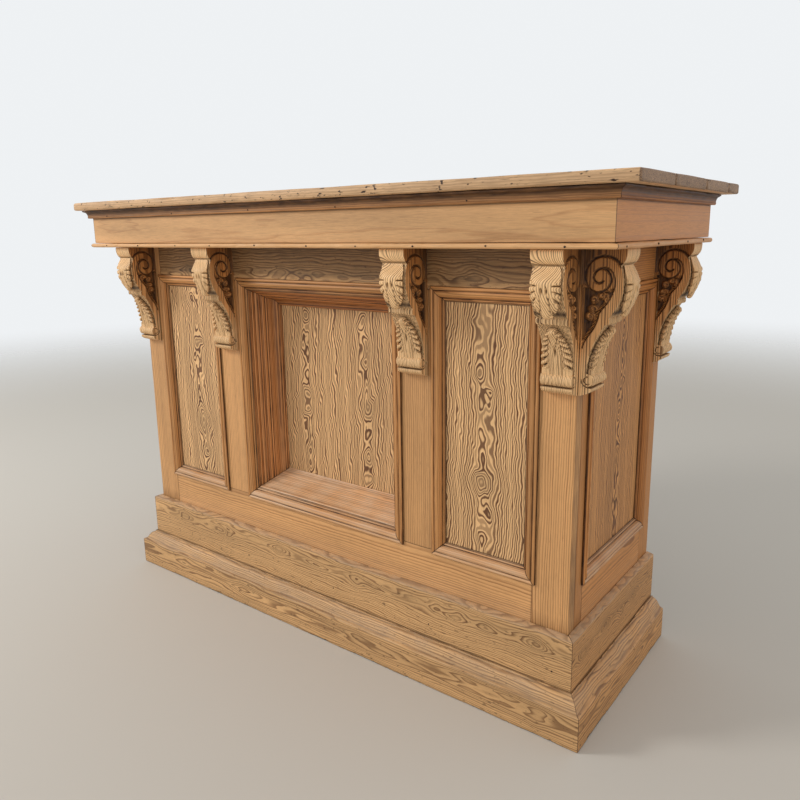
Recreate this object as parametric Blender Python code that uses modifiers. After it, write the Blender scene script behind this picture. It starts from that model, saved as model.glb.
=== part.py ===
"""Panelled pine bar counter with carved scroll corbels and a deep stepped centre reveal.

Metres, +Z up. The origin is on the floor under the middle of the worktop, +X runs to the right
as seen from the customer's side, and the customer stands at -Y.
"""
import math

import bmesh
import bpy
from mathutils import Matrix, Vector

# Clearances
GAP = 0.0003
EASE = 0.0012

# Worktop
HEIGHT = 1.050
TOP_LENGTH = 1.550
TOP_DEPTH = 0.598
TOP_THICKNESS = 0.0215
FRONT_BOARD_WIDTH = 0.166
SECOND_BOARD_WIDTH = 0.184
THIRD_BOARD_WIDTH = 0.162
TOP_EDGE_RADIUS = 0.003
FRONT_OVERHANG = 0.1113
BACK_OVERHANG = 0.0426
END_OVERHANG = 0.1308

# Carcase
FRAME_THICKNESS = 0.025
CORNER_STILE_WIDTH = 0.079
MUNTIN_WIDTH = 0.091
CENTRE_OPENING_WIDTH = 0.492
SIDE_FRONT_STILE_WIDTH = 0.0577
SIDE_BACK_STILE_WIDTH = 0.0594
BOTTOM_RAIL_BASE = 0.110
BOTTOM_RAIL_TOP = 0.295
TOP_RAIL_HEIGHT = 0.1782
PANEL_THICKNESS = 0.010
PANEL_SINK = 0.009

# Bolection moulding round each panel
MOULDING_WIDTH = 0.031
MOULDING_LAP = 0.0075
MOULDING_RISE = 0.007
MOULDING_TOE = 0.0025

# Stepped reveal round the centre panel
REVEAL_WIDTH = 0.0645
REVEAL_DEPTH = 0.080
REVEAL_BACK_LAND = 0.024
REVEAL_SHOULDER = 0.026

# Canopy: fascia, soffit and bed mould
FASCIA_FRONT_OVERHANG = 0.0823
FASCIA_SIDE_OVERHANG = 0.0874
FASCIA_BACK_OVERHANG = 0.005
FASCIA_THICKNESS = 0.022
CANOPY_HEIGHT = 0.119
SOFFIT_THICKNESS = 0.0106
SOFFIT_NOSE = 0.0085
BED_MOULD_HEIGHT = 0.0213
BED_MOULD_FOOT = 0.010
BED_MOULD_HEAD = 0.019
BED_MOULD_FILLET = 0.0045

# Plinth
UPPER_PLINTH_THICKNESS = 0.0177
UPPER_PLINTH_TOP = 0.2037
UPPER_PLINTH_WEATHERING = 0.0037
LOWER_PLINTH_THICKNESS = 0.0306
LOWER_PLINTH_FACE = 0.0735
LOWER_PLINTH_TOP = 0.0982
PLINTH_FILLET = 0.004

# Inside
BACK_RAIL_HEIGHT = 0.050
BOTTOM_BOARD_THICKNESS = 0.018
SHELF_THICKNESS = 0.018
SHELF_HEIGHT = 0.550
SHELF_BACK_SETBACK = 0.020
BEARER_HEIGHT = 0.022
BEARER_THICKNESS = 0.018

# Scroll corbels
CORBEL_WIDTH = 0.060
CORBEL_HEIGHT = 0.256
CORBEL_REACH = 0.077
CORBEL_INSET = 0.0003
CAP_HEIGHT = 0.025
CAP_EDGE = 0.005
CAP_STEP = 0.007
BAND_INSET = 0.003
BAND_THROAT = 0.0151
ROLL_RADIUS = 0.0117
ROLL_REACH = 0.0282
ROLL_HEIGHT = 0.0284
BASE_HEIGHT = 0.015
BASE_REACH = 0.024
BASE_TOE = 0.003
BASE_FILLET = 0.004
VOLUTE_RADIUS = 0.027
VOLUTE_DROP = 0.0195
VOLUTE_TURNS = 1.6
GROOVE_RADIUS = 0.0021
FIELD_DEPTH = 0.006
FIELD_BORDER = 0.019
LEAF_WIDTH = 0.057
LEAF_CROWN = 0.0035
LEAF_THICKNESS = 0.015
HANGING_LEAF_RISE = 0.008
HANGING_LEAF_ROOT = 0.003
STANDING_LEAF_RISE = 0.009
STANDING_LEAF_ROOT = 0.008
BAR_HEIGHT = 0.012
BAR_RISE = 0.0025

# Places along the corbel's S-shaped front, from 0 under the cap to 1 above the roll
HANGING_LEAF_TIP = 0.465
BAR_PLACE = 0.535
BAR_ROOT = 0.045
STANDING_LEAF_TIP = 0.60
STANDING_LEAF_FOOT = 0.985

# Where each leaf starts to round off, from 0 at its root to 1 at its tip
HANGING_LEAF_SHOULDER = 0.45
STANDING_LEAF_SHOULDER = 0.55

# Places worked out from the sizes above
TOP_UNDERSIDE = HEIGHT - TOP_THICKNESS
BODY_SIDE = TOP_LENGTH / 2 - END_OVERHANG
BODY_BACK = TOP_DEPTH / 2 - BACK_OVERHANG
BODY_FRONT = FRONT_OVERHANG - TOP_DEPTH / 2
INNER_SIDE = BODY_SIDE - FRAME_THICKNESS
INNER_FRONT = BODY_FRONT + FRAME_THICKNESS
CARCASE_TOP = TOP_UNDERSIDE - GAP
OPENING_BOTTOM = BOTTOM_RAIL_TOP
OPENING_TOP = CARCASE_TOP - TOP_RAIL_HEIGHT
SIDE_OPENING_FRONT = BODY_FRONT + SIDE_FRONT_STILE_WIDTH
SIDE_OPENING_BACK = BODY_BACK - SIDE_BACK_STILE_WIDTH
MUNTIN_INNER = CENTRE_OPENING_WIDTH / 2
MUNTIN_OUTER = MUNTIN_INNER + MUNTIN_WIDTH
STILE_INNER = BODY_SIDE - CORNER_STILE_WIDTH
OPENING_HEIGHT = OPENING_TOP - OPENING_BOTTOM
OPENING_MIDDLE = (OPENING_TOP + OPENING_BOTTOM) / 2
FASCIA_FRONT = BODY_FRONT - FASCIA_FRONT_OVERHANG
FASCIA_SIDE = BODY_SIDE + FASCIA_SIDE_OVERHANG
FASCIA_BACK = BODY_BACK + FASCIA_BACK_OVERHANG
SOFFIT_UNDERSIDE = HEIGHT - CANOPY_HEIGHT
FASCIA_BOTTOM = SOFFIT_UNDERSIDE + SOFFIT_THICKNESS
CORBEL_TOP = SOFFIT_UNDERSIDE - GAP
CORBEL_BOTTOM = CORBEL_TOP - CORBEL_HEIGHT
REVEAL_BACK = BODY_FRONT + REVEAL_DEPTH

# Directions
LEFT = Vector((-1, 0, 0))
RIGHT = Vector((1, 0, 0))
FORWARD = Vector((0, -1, 0))
UP = Vector((0, 0, 1))
DOWN = Vector((0, 0, -1))
SIDES = (("left", LEFT), ("right", RIGHT))


def clear_scene():
    """Remove every object that is already in the file."""
    for old in list(bpy.data.objects):
        bpy.data.objects.remove(old, do_unlink=True)


def new_collection(name):
    """Return a collection of that name, linked to the scene."""
    collection = bpy.data.collections.new(name)
    bpy.context.scene.collection.children.link(collection)
    return collection


def wood(name, colour, roughness):
    """Return a Principled material for a stripped pine surface."""
    material = bpy.data.materials.new(name)
    material.use_nodes = True
    shader = material.node_tree.nodes["Principled BSDF"]
    shader.inputs["Base Color"].default_value = (*colour, 1.0)
    shader.inputs["Roughness"].default_value = roughness
    shader.inputs["Metallic"].default_value = 0.0
    return material


def own_material(name):
    """Return a material for one piece, from the finish of its family of pieces."""
    family = next(key for key in FINISHES if name.startswith(key))
    colour, roughness = FINISHES[family]
    return wood(f"pine_{name}", colour, roughness)


def add_object(name, mesh, collection):
    """Link a mesh to a collection as a named object with its own material."""
    piece = bpy.data.objects.new(name, mesh)
    collection.objects.link(piece)
    mesh.materials.clear()
    mesh.materials.append(own_material(name))
    return piece


def mesh_from(name, bm):
    """Turn a bmesh into a mesh whose faces point outwards."""
    bmesh.ops.recalc_face_normals(bm, faces=bm.faces)
    mesh = bpy.data.meshes.new(name)
    bm.to_mesh(mesh)
    bm.free()
    return mesh


def board(name, low, high, ease=0.0):
    """Make a plain board between two corners, with eased edges if asked."""
    low = Vector(low)
    high = Vector(high)
    bm = bmesh.new()
    bmesh.ops.create_cube(bm, size=1.0)
    bmesh.ops.scale(bm, vec=high - low, verts=bm.verts)
    piece = add_object(name, mesh_from(name, bm), PARTS)
    piece.location = (low + high) / 2
    if ease:
        bevel = piece.modifiers.new("eased_edges", "BEVEL")
        bevel.width = ease
        bevel.segments = 2
    return piece


def arc(centre, radius, start, end, steps):
    """Points along a circular arc between two angles in degrees, both ends included."""
    angles = [math.radians(start + (end - start) * i / steps) for i in range(steps + 1)]
    return [(centre[0] + radius * math.cos(a), centre[1] + radius * math.sin(a)) for a in angles]


def bezier(points, steps):
    """Points along a cubic curve given by its two ends and two handles."""
    a, b, c, d = [Vector(p) for p in points]
    result = []
    for i in range(steps + 1):
        t = i / steps
        s = 1 - t
        result.append(tuple(a * s ** 3 + b * 3 * s * s * t + c * 3 * s * t * t + d * t ** 3))
    return result


def extruded_mesh(name, outline, length):
    """Mesh of a closed flat outline, extruded evenly to both sides along its local Z."""
    curve = bpy.data.curves.new(name, "CURVE")
    curve.dimensions = "2D"
    curve.fill_mode = "BOTH"
    curve.extrude = length / 2
    spline = curve.splines.new("POLY")
    spline.points.add(len(outline) - 1)
    for point, (x, y) in zip(spline.points, outline):
        point.co = (x, y, 0.0, 1.0)
    spline.use_cyclic_u = True
    temporary = bpy.data.objects.new(name, curve)
    CUTTERS.objects.link(temporary)
    evaluated = temporary.evaluated_get(bpy.context.evaluated_depsgraph_get())
    mesh = bpy.data.meshes.new_from_object(evaluated)
    bpy.data.objects.remove(temporary, do_unlink=True)
    bpy.data.curves.remove(curve)
    bm = bmesh.new()
    bm.from_mesh(mesh)
    bmesh.ops.remove_doubles(bm, verts=bm.verts, dist=1e-5)
    bmesh.ops.recalc_face_normals(bm, faces=bm.faces)
    bm.to_mesh(mesh)
    bm.free()
    return mesh


def strip(name, outline, centre, across, face, length, low_mitre=0, high_mitre=0):
    """Make a moulded length: an outline of (across, face) points carried along a straight line.

    The line runs along across x face. A mitre of 1 makes an end grow with the outline's first
    coordinate, as at an outer corner; -1 makes it shrink, as at an inner corner.
    """
    mesh = extruded_mesh(name, outline, length)
    for vertex in mesh.vertices:
        if vertex.co.z > 0:
            vertex.co.z += high_mitre * vertex.co.x - GAP * abs(high_mitre)
        else:
            vertex.co.z -= low_mitre * vertex.co.x - GAP * abs(low_mitre)
    piece = add_object(name, mesh, PARTS)
    along = across.cross(face)
    turn = Matrix((across, face, along)).transposed()
    piece.matrix_world = Matrix.Translation(centre) @ turn.to_4x4()
    return piece


def picture_frame(name, outline, centre, face, width, height):
    """Make a mitred moulding round a rectangle.

    The outline's first coordinate runs inwards from the rectangle. It is spun in four steps,
    which gives a square with mitred corners, and each corner is then moved to its own place.
    """
    bm = bmesh.new()
    reach = max(point[0] for point in outline) * 2
    diagonal = Vector((1, 1)).normalized()
    verts = []
    for inward, rise in outline:
        x, z = diagonal * (reach - inward) * math.sqrt(2)
        verts.append(bm.verts.new((x, -rise, z)))
    edges = [bm.edges.new((a, b)) for a, b in zip(verts, verts[1:] + verts[:1])]
    bmesh.ops.spin(
        bm, geom=verts + edges, cent=(0, 0, 0), axis=(0, 1, 0), angle=math.tau, steps=4, use_merge=True
    )
    bmesh.ops.remove_doubles(bm, verts=bm.verts, dist=1e-5)
    for vertex in bm.verts:
        vertex.co.x += math.copysign(width / 2 - reach, vertex.co.x)
        vertex.co.z += math.copysign(height / 2 - reach, vertex.co.z)
    piece = add_object(name, mesh_from(name, bm), PARTS)
    turn = Matrix((FORWARD.cross(UP) * -1, FORWARD * -1, UP)).transposed()
    quarter = FORWARD.to_2d().angle_signed(face.to_2d())
    piece.matrix_world = Matrix.Translation(centre) @ Matrix.Rotation(-quarter, 4, "Z") @ turn.to_4x4()
    return piece


def make_worktop():
    """Four boards, laid from the front edge to the back edge."""
    widths = (FRONT_BOARD_WIDTH, SECOND_BOARD_WIDTH, THIRD_BOARD_WIDTH)
    joints = [-TOP_DEPTH / 2]
    for width in widths:
        joints.append(joints[-1] + width)
    joints.append(TOP_DEPTH / 2)
    names = ("front", "second", "third", "back")
    for name, front, back in zip(names, joints, joints[1:]):
        low = (-TOP_LENGTH / 2, front + GAP / 2, TOP_UNDERSIDE)
        high = (TOP_LENGTH / 2, back - GAP / 2, HEIGHT)
        board(f"top_board_{name}", low, high, TOP_EDGE_RADIUS)


def make_front_frame():
    """Corner stiles, muntins and rails of the customer's side."""
    for side, direction in SIDES:
        low_x, high_x = sorted((direction.x * STILE_INNER, direction.x * BODY_SIDE))
        board(f"corner_stile_{side}", (low_x, BODY_FRONT, 0), (high_x, INNER_FRONT, CARCASE_TOP))
        low_x, high_x = sorted((direction.x * MUNTIN_INNER, direction.x * MUNTIN_OUTER))
        low = (low_x, BODY_FRONT, OPENING_BOTTOM + GAP)
        high = (high_x, INNER_FRONT, OPENING_TOP - GAP)
        board(f"muntin_{side}", low, high)
    end = STILE_INNER - GAP
    board("front_bottom_rail", (-end, BODY_FRONT, BOTTOM_RAIL_BASE), (end, INNER_FRONT, OPENING_BOTTOM))
    board("front_top_rail", (-end, BODY_FRONT, OPENING_TOP), (end, INNER_FRONT, CARCASE_TOP))


def make_side_frames():
    """Stiles and rails of both ends, butted behind the corner stiles."""
    rail_front = SIDE_OPENING_FRONT + GAP
    rail_back = SIDE_OPENING_BACK - GAP
    spans = (
        ("side_front_stile", INNER_FRONT + GAP, SIDE_OPENING_FRONT, 0, CARCASE_TOP),
        ("side_back_stile", SIDE_OPENING_BACK, BODY_BACK, 0, CARCASE_TOP),
        ("side_bottom_rail", rail_front, rail_back, BOTTOM_RAIL_BASE, OPENING_BOTTOM),
        ("side_top_rail", rail_front, rail_back, OPENING_TOP, CARCASE_TOP),
    )
    for side, direction in SIDES:
        low_x, high_x = sorted((direction.x * INNER_SIDE, direction.x * BODY_SIDE))
        for name, front, back, bottom, top in spans:
            board(f"{name}_{side}", (low_x, front, bottom), (high_x, back, top))


def make_panels():
    """Thin panels sunk behind the frames, and the larger one behind the reveal."""
    bottom = OPENING_BOTTOM + GAP
    top = OPENING_TOP - GAP
    face = BODY_FRONT + PANEL_SINK
    for side, direction in SIDES:
        low_x, high_x = sorted((direction.x * (MUNTIN_OUTER + GAP), direction.x * (STILE_INNER - GAP)))
        board(f"panel_front_{side}", (low_x, face, bottom), (high_x, face + PANEL_THICKNESS, top))
        outer = BODY_SIDE - PANEL_SINK
        low_x, high_x = sorted((direction.x * (outer - PANEL_THICKNESS), direction.x * outer))
        front = SIDE_OPENING_FRONT + GAP
        back = SIDE_OPENING_BACK - GAP
        board(f"panel_side_{side}", (low_x, front, bottom), (high_x, back, top))
    inset = REVEAL_WIDTH - REVEAL_BACK_LAND
    half = MUNTIN_INNER - inset
    board(
        "panel_front_centre",
        (-half, REVEAL_BACK, OPENING_BOTTOM + inset),
        (half, REVEAL_BACK + PANEL_THICKNESS, OPENING_TOP - inset),
    )


def bolection_outline():
    """Outline of the planted moulding: bead, quirk, ovolo and a small toe on the panel."""
    bead = 0.0045
    bead_rise = MOULDING_RISE - bead
    quirk = 0.0015
    ovolo_start = MOULDING_LAP + 0.004
    ovolo_end = MOULDING_WIDTH - 0.0075
    toe_face = MOULDING_TOE - PANEL_SINK
    points = [(0, GAP), (0, bead_rise)]
    points += arc((bead, bead_rise), bead, 180, 75, 4)[1:]
    points += [(ovolo_start - quirk, MOULDING_RISE - quirk), (ovolo_start, MOULDING_RISE - 2 * quirk)]
    handles = (
        (ovolo_start, MOULDING_RISE - 2 * quirk),
        (ovolo_start + 0.006, MOULDING_RISE - quirk),
        (ovolo_end - 0.001, 0.001),
        (ovolo_end, toe_face + quirk),
    )
    points += bezier(handles, 5)[1:]
    points += [(ovolo_end + quirk, toe_face), (ovolo_end + 2 * quirk, toe_face + quirk)]
    points += [(MOULDING_WIDTH, toe_face), (MOULDING_WIDTH, GAP - PANEL_SINK)]
    points += [(MOULDING_LAP + GAP, GAP - PANEL_SINK), (MOULDING_LAP + GAP, GAP)]
    return points


def make_mouldings():
    """A mitred bolection moulding round each of the five openings."""
    outline = bolection_outline()
    height = OPENING_HEIGHT + 2 * MOULDING_LAP
    front_width = STILE_INNER - MUNTIN_OUTER + 2 * MOULDING_LAP
    front_middle = (STILE_INNER + MUNTIN_OUTER) / 2
    side_width = SIDE_OPENING_BACK - SIDE_OPENING_FRONT + 2 * MOULDING_LAP
    side_middle = (SIDE_OPENING_BACK + SIDE_OPENING_FRONT) / 2
    for side, direction in SIDES:
        centre = Vector((direction.x * front_middle, BODY_FRONT, OPENING_MIDDLE))
        picture_frame(f"moulding_front_{side}", outline, centre, FORWARD, front_width, height)
        centre = Vector((direction.x * BODY_SIDE, side_middle, OPENING_MIDDLE))
        picture_frame(f"moulding_side_{side}", outline, centre, direction, side_width, height)
    centre = Vector((0, BODY_FRONT, OPENING_MIDDLE))
    centre_width = CENTRE_OPENING_WIDTH + 2 * MOULDING_LAP
    picture_frame("moulding_front_centre", outline, centre, FORWARD, centre_width, height)


def reveal_outline():
    """Outline of one reveal length: from the frame's opening down its steps to the panel.

    The first coordinate runs from the opening's edge towards the panel, the second is the height
    above the frame's face, so the panel lies at minus REVEAL_DEPTH.
    """
    start = MOULDING_WIDTH - MOULDING_LAP
    seat = -PANEL_SINK
    run = REVEAL_WIDTH - start
    drop = REVEAL_DEPTH - PANEL_SINK

    def at(across, down):
        return (start + run * across, seat - drop * down)

    points = [(GAP, seat), at(0, 0), at(0, 0.10)]
    points += bezier((at(0, 0.10), at(0.02, 0.20), at(0.10, 0.24), at(0.22, 0.24)), 3)[1:]
    points += arc(at(0.22, 0.29), drop * 0.05, 90, -60, 4)
    points += [at(0.24, 0.36)]
    points += arc(at(0.33, 0.41), drop * 0.05, 110, -60, 4)
    points += bezier((at(0.34, 0.48), at(0.36, 0.56), at(0.44, 0.60), at(0.56, 0.60)), 3)
    points += arc(at(0.58, 0.64), drop * 0.035, 90, -60, 3)
    points += [at(0.60, 0.70), at(0.66, 0.70)]
    points += bezier((at(0.66, 0.70), at(0.68, 0.84), at(0.76, 0.91), at(0.90, 0.92)), 4)[1:]
    points += [at(1.0, 0.92), (REVEAL_WIDTH, GAP - REVEAL_DEPTH)]
    points += [(REVEAL_WIDTH - REVEAL_BACK_LAND - GAP, GAP - REVEAL_DEPTH), (GAP, -REVEAL_SHOULDER)]
    return points


def make_reveal():
    """Four mitred lengths that step back from the centre opening to its panel."""
    outline = reveal_outline()
    half = CENTRE_OPENING_WIDTH / 2
    places = (
        ("reveal_bottom", Vector((0, BODY_FRONT, OPENING_BOTTOM)), UP, CENTRE_OPENING_WIDTH),
        ("reveal_top", Vector((0, BODY_FRONT, OPENING_TOP)), DOWN, CENTRE_OPENING_WIDTH),
        ("reveal_left", Vector((-half, BODY_FRONT, OPENING_MIDDLE)), RIGHT, OPENING_HEIGHT),
        ("reveal_right", Vector((half, BODY_FRONT, OPENING_MIDDLE)), LEFT, OPENING_HEIGHT),
    )
    for name, centre, across, length in places:
        strip(name, outline, centre, across, FORWARD, length, -1, -1)


def three_lengths(name, outline, front, side, back, height):
    """Carry one outline along the front and both ends, mitred at the front corners."""
    strip(f"{name}_front", outline, Vector((0, front, height)), FORWARD, UP, 2 * side, 1, 1)
    length = back - front
    middle = (back + front) / 2
    for end, direction in SIDES:
        front_is_high = direction.x > 0
        strip(
            f"{name}_{end}",
            outline,
            Vector((direction.x * side, middle, height)),
            direction,
            UP,
            length,
            0 if front_is_high else 1,
            1 if front_is_high else 0,
        )


def make_canopy():
    """Fascia on its round-nosed soffit, and the bed mould under the worktop."""
    fascia_height = TOP_UNDERSIDE - FASCIA_BOTTOM - 2 * GAP
    fascia = [(-FASCIA_THICKNESS, 0), (0, 0), (0, fascia_height), (-FASCIA_THICKNESS, fascia_height)]
    three_lengths("fascia", fascia, FASCIA_FRONT, FASCIA_SIDE, FASCIA_BACK, FASCIA_BOTTOM + GAP)
    radius = SOFFIT_THICKNESS / 2
    inner = GAP - min(FASCIA_FRONT_OVERHANG, FASCIA_SIDE_OVERHANG)
    soffit = [(inner, 0)]
    soffit += arc((SOFFIT_NOSE - radius, radius), radius, -90, 90, 6)
    soffit += [(inner, SOFFIT_THICKNESS)]
    three_lengths("soffit", soffit, FASCIA_FRONT, FASCIA_SIDE, FASCIA_BACK, SOFFIT_UNDERSIDE)
    top = BED_MOULD_HEIGHT - GAP
    fillet = BED_MOULD_FILLET
    cove = (
        (BED_MOULD_FOOT, fillet),
        (BED_MOULD_FOOT + 0.001, top * 0.55),
        (BED_MOULD_HEAD - 0.006, top - fillet),
        (BED_MOULD_HEAD - 0.002, top - fillet),
    )
    bed = [(GAP, 0), (BED_MOULD_FOOT - 0.003, 0), (BED_MOULD_FOOT, 0.0025)]
    bed += bezier(cove, 5)
    bed += [(BED_MOULD_HEAD, top - fillet + 0.001), (BED_MOULD_HEAD, top), (GAP, top)]
    bed_bottom = TOP_UNDERSIDE - BED_MOULD_HEIGHT
    three_lengths("bed_mould", bed, FASCIA_FRONT, FASCIA_SIDE, FASCIA_BACK, bed_bottom)


def make_plinth():
    """Upper plinth boards against the carcase and the moulded lower boards in front of them."""
    upper_front = BODY_FRONT - UPPER_PLINTH_THICKNESS
    upper_side = BODY_SIDE + UPPER_PLINTH_THICKNESS
    back_face = GAP - UPPER_PLINTH_THICKNESS
    upper_crest = UPPER_PLINTH_TOP + UPPER_PLINTH_WEATHERING
    upper = [(back_face, 0), (0, 0), (0, UPPER_PLINTH_TOP), (back_face, upper_crest)]
    three_lengths("plinth_upper", upper, upper_front, upper_side, BODY_BACK, 0)
    lower_front = upper_front - LOWER_PLINTH_THICKNESS
    lower_side = upper_side + LOWER_PLINTH_THICKNESS
    back_face = GAP - LOWER_PLINTH_THICKNESS
    ogee = (
        (-PLINTH_FILLET, LOWER_PLINTH_FACE),
        (-PLINTH_FILLET - 0.009, LOWER_PLINTH_FACE + 0.002),
        (-PLINTH_FILLET - 0.008, LOWER_PLINTH_TOP - PLINTH_FILLET),
        (back_face + PLINTH_FILLET, LOWER_PLINTH_TOP - PLINTH_FILLET),
    )
    lower = [(back_face, 0), (0, 0), (0, LOWER_PLINTH_FACE - EASE), (-EASE, LOWER_PLINTH_FACE)]
    lower += bezier(ogee, 7)
    lower += [(back_face + PLINTH_FILLET, LOWER_PLINTH_TOP), (back_face, LOWER_PLINTH_TOP)]
    three_lengths("plinth_lower", lower, lower_front, lower_side, BODY_BACK, 0)


def make_inside():
    """Back rail, bottom board, and the shelf on its two bearers."""
    end = INNER_SIDE - GAP
    rail_front = BODY_BACK - FRAME_THICKNESS
    rail_bottom = CARCASE_TOP - BACK_RAIL_HEIGHT
    board("back_top_rail", (-end, rail_front, rail_bottom), (end, BODY_BACK, CARCASE_TOP))
    floor_bottom = BOTTOM_RAIL_BASE + GAP
    board(
        "bottom_board",
        (-end, INNER_FRONT + GAP, floor_bottom),
        (end, BODY_BACK, floor_bottom + BOTTOM_BOARD_THICKNESS),
    )
    shelf_front = REVEAL_BACK + PANEL_THICKNESS + GAP
    shelf_back = BODY_BACK - SHELF_BACK_SETBACK
    board("shelf", (-end, shelf_front, SHELF_HEIGHT), (end, shelf_back, SHELF_HEIGHT + SHELF_THICKNESS))
    bearer_top = SHELF_HEIGHT - GAP
    for side, direction in SIDES:
        low_x, high_x = sorted((direction.x * (end - BEARER_THICKNESS), direction.x * end))
        board(
            f"shelf_bearer_{side}",
            (low_x, INNER_FRONT + GAP, bearer_top - BEARER_HEIGHT),
            (high_x, shelf_back, bearer_top),
        )


def scroll_curve():
    """Ends and handles of the corbel's S-shaped front, from under the cap to the roll."""
    top = CORBEL_HEIGHT - CAP_HEIGHT - BAND_INSET
    bottom = ROLL_HEIGHT + ROLL_RADIUS
    span = top - bottom
    belly = (CORBEL_REACH * 1.255, bottom + span * 0.59)
    waist = (BAND_THROAT * 1.08, bottom + span * 0.497)
    return (CORBEL_REACH - CAP_STEP - BAND_INSET, top), belly, waist, (BAND_THROAT, bottom)


def scroll_point(t):
    """Point on the S-shaped front and its outward direction, for t from 0 at the top to 1."""
    a, b, c, d = [Vector(p) for p in scroll_curve()]
    s = 1 - t
    point = a * s ** 3 + b * 3 * s * s * t + c * 3 * s * t * t + d * t ** 3
    slope = (b - a) * 3 * s * s + (c - b) * 6 * s * t + (d - c) * 3 * t * t
    outward = Vector((-slope.y, slope.x)).normalized()
    return point, outward


def scroll_outline():
    """Side outline of the corbel: cap, S-shaped front with its bar, foot roll and base block."""
    top = CORBEL_HEIGHT
    cap_bottom = top - CAP_HEIGHT
    points = [(0, top), (CORBEL_REACH, top)]
    ovolo = (
        (CORBEL_REACH, top - CAP_EDGE),
        (CORBEL_REACH, top - CAP_HEIGHT * 0.6),
        (CORBEL_REACH - CAP_STEP * 0.4, cap_bottom + CAP_EDGE),
        (CORBEL_REACH - CAP_STEP, cap_bottom),
    )
    points += bezier(ovolo, 5)
    steps = 12
    shares = [i / steps for i in range(steps + 1)]
    bar_start = BAR_PLACE - BAR_ROOT
    bar_end = BAR_PLACE + BAR_ROOT
    points += [tuple(scroll_point(t)[0]) for t in shares + [bar_start] if t <= bar_start]
    nose = scroll_point(BAR_PLACE)[0] + Vector((BAR_RISE, 0))
    points += [(nose.x - EASE, nose.y + BAR_HEIGHT / 2), (nose.x, nose.y + BAR_HEIGHT / 4)]
    points += [(nose.x, nose.y - BAR_HEIGHT / 4), (nose.x - EASE, nose.y - BAR_HEIGHT / 2)]
    points += [tuple(scroll_point(t)[0]) for t in [bar_end] + shares if t >= bar_end]
    roll_centre = (ROLL_REACH - ROLL_RADIUS, ROLL_HEIGHT)
    points += arc(roll_centre, ROLL_RADIUS, 85, -95, 9)
    points += [(roll_centre[0], BASE_HEIGHT), (BASE_REACH, BASE_HEIGHT)]
    points.append((BASE_REACH, BASE_HEIGHT - BASE_FILLET))
    cove = (
        (BASE_REACH - EASE, BASE_HEIGHT - BASE_FILLET),
        (BASE_REACH - EASE, BASE_HEIGHT * 0.3),
        (BASE_TOE + BASE_FILLET, EASE),
        (BASE_TOE, 0),
    )
    points += bezier(cove, 4)
    points.append((0, 0))
    return points


def leaf_half_width(v, shoulder):
    """Half width of a leaf from its root at v = 0 to its tip at v = 1, with lobes along its edge.

    It is full up to its shoulder and rounds off from there to a blunt tip.
    """
    taper = math.sqrt(max(0.0, 1 - (max(0.0, v - shoulder) / (1.01 - shoulder)) ** 2))
    lobes = 0.90 + 0.10 * abs(math.cos(math.pi * 3.5 * v))
    return LEAF_WIDTH / 2 * lobes * (0.12 + 0.88 * taper)


def leaf_solid(name, span, shoulder, rises, rows, columns=6):
    """Make a leaf that lies over the S-shaped front, from its root to its tip along it.

    It stands off the front by its first rise at its root, and by its second from a third on.
    """
    root, tip = span
    root_rise, full_rise = rises
    bm = bmesh.new()
    bmesh.ops.create_grid(bm, x_segments=columns, y_segments=rows, size=1.0)
    for vertex in bm.verts:
        across = vertex.co.x
        v = (1 - vertex.co.y) / 2
        point, outward = scroll_point(root + (tip - root) * v)
        edge = root_rise + (full_rise - root_rise) * min(1.0, 3 * v)
        crown = LEAF_CROWN * (1 - across * across) * math.sin(math.pi * 0.92 * v) ** 0.5
        surface = point + outward * (edge + crown)
        vertex.co = (across * leaf_half_width(v, shoulder), -surface.x, surface.y)
    mesh = mesh_from(name, bm)
    leaf = bpy.data.objects.new(name, mesh)
    CUTTERS.objects.link(leaf)
    solidify = leaf.modifiers.new("thickness", "SOLIDIFY")
    solidify.thickness = LEAF_THICKNESS
    solidify.offset = 1 if mesh.polygons[0].normal.y > 0 else -1
    return leaf


def volute_centre():
    """Middle of the volute on the corbel's side."""
    return Vector((VOLUTE_RADIUS, CORBEL_HEIGHT - VOLUTE_DROP - VOLUTE_RADIUS))


def side_field_outline():
    """Outline of the sunk field between the volute, the S-shaped band and the wall."""
    wall = BAND_INSET
    volute_bottom = volute_centre().y - VOLUTE_RADIUS
    points = [(wall, volute_bottom - BAND_INSET)]
    for t in (0.35, 0.45, 0.55, 0.65, 0.75):
        point, outward = scroll_point(t)
        inner = point - outward * FIELD_BORDER
        points.append((max(inner.x, wall + EASE), min(inner.y, volute_bottom)))
    points.append((wall, points[-1][1] - ROLL_RADIUS / 2))
    return points


def spiral_points():
    """Points of the volute's groove, wound in from its rim to its eye."""
    centre = volute_centre()
    count = round(VOLUTE_TURNS * 12)
    points = []
    for i in range(count + 1):
        share = i / count
        radius = VOLUTE_RADIUS * (0.92 - 0.72 * share ** 0.8)
        angle = math.radians(-55) + math.tau * VOLUTE_TURNS * share
        points.append(centre + Vector((math.cos(angle), math.sin(angle))) * radius)
    return points


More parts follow.
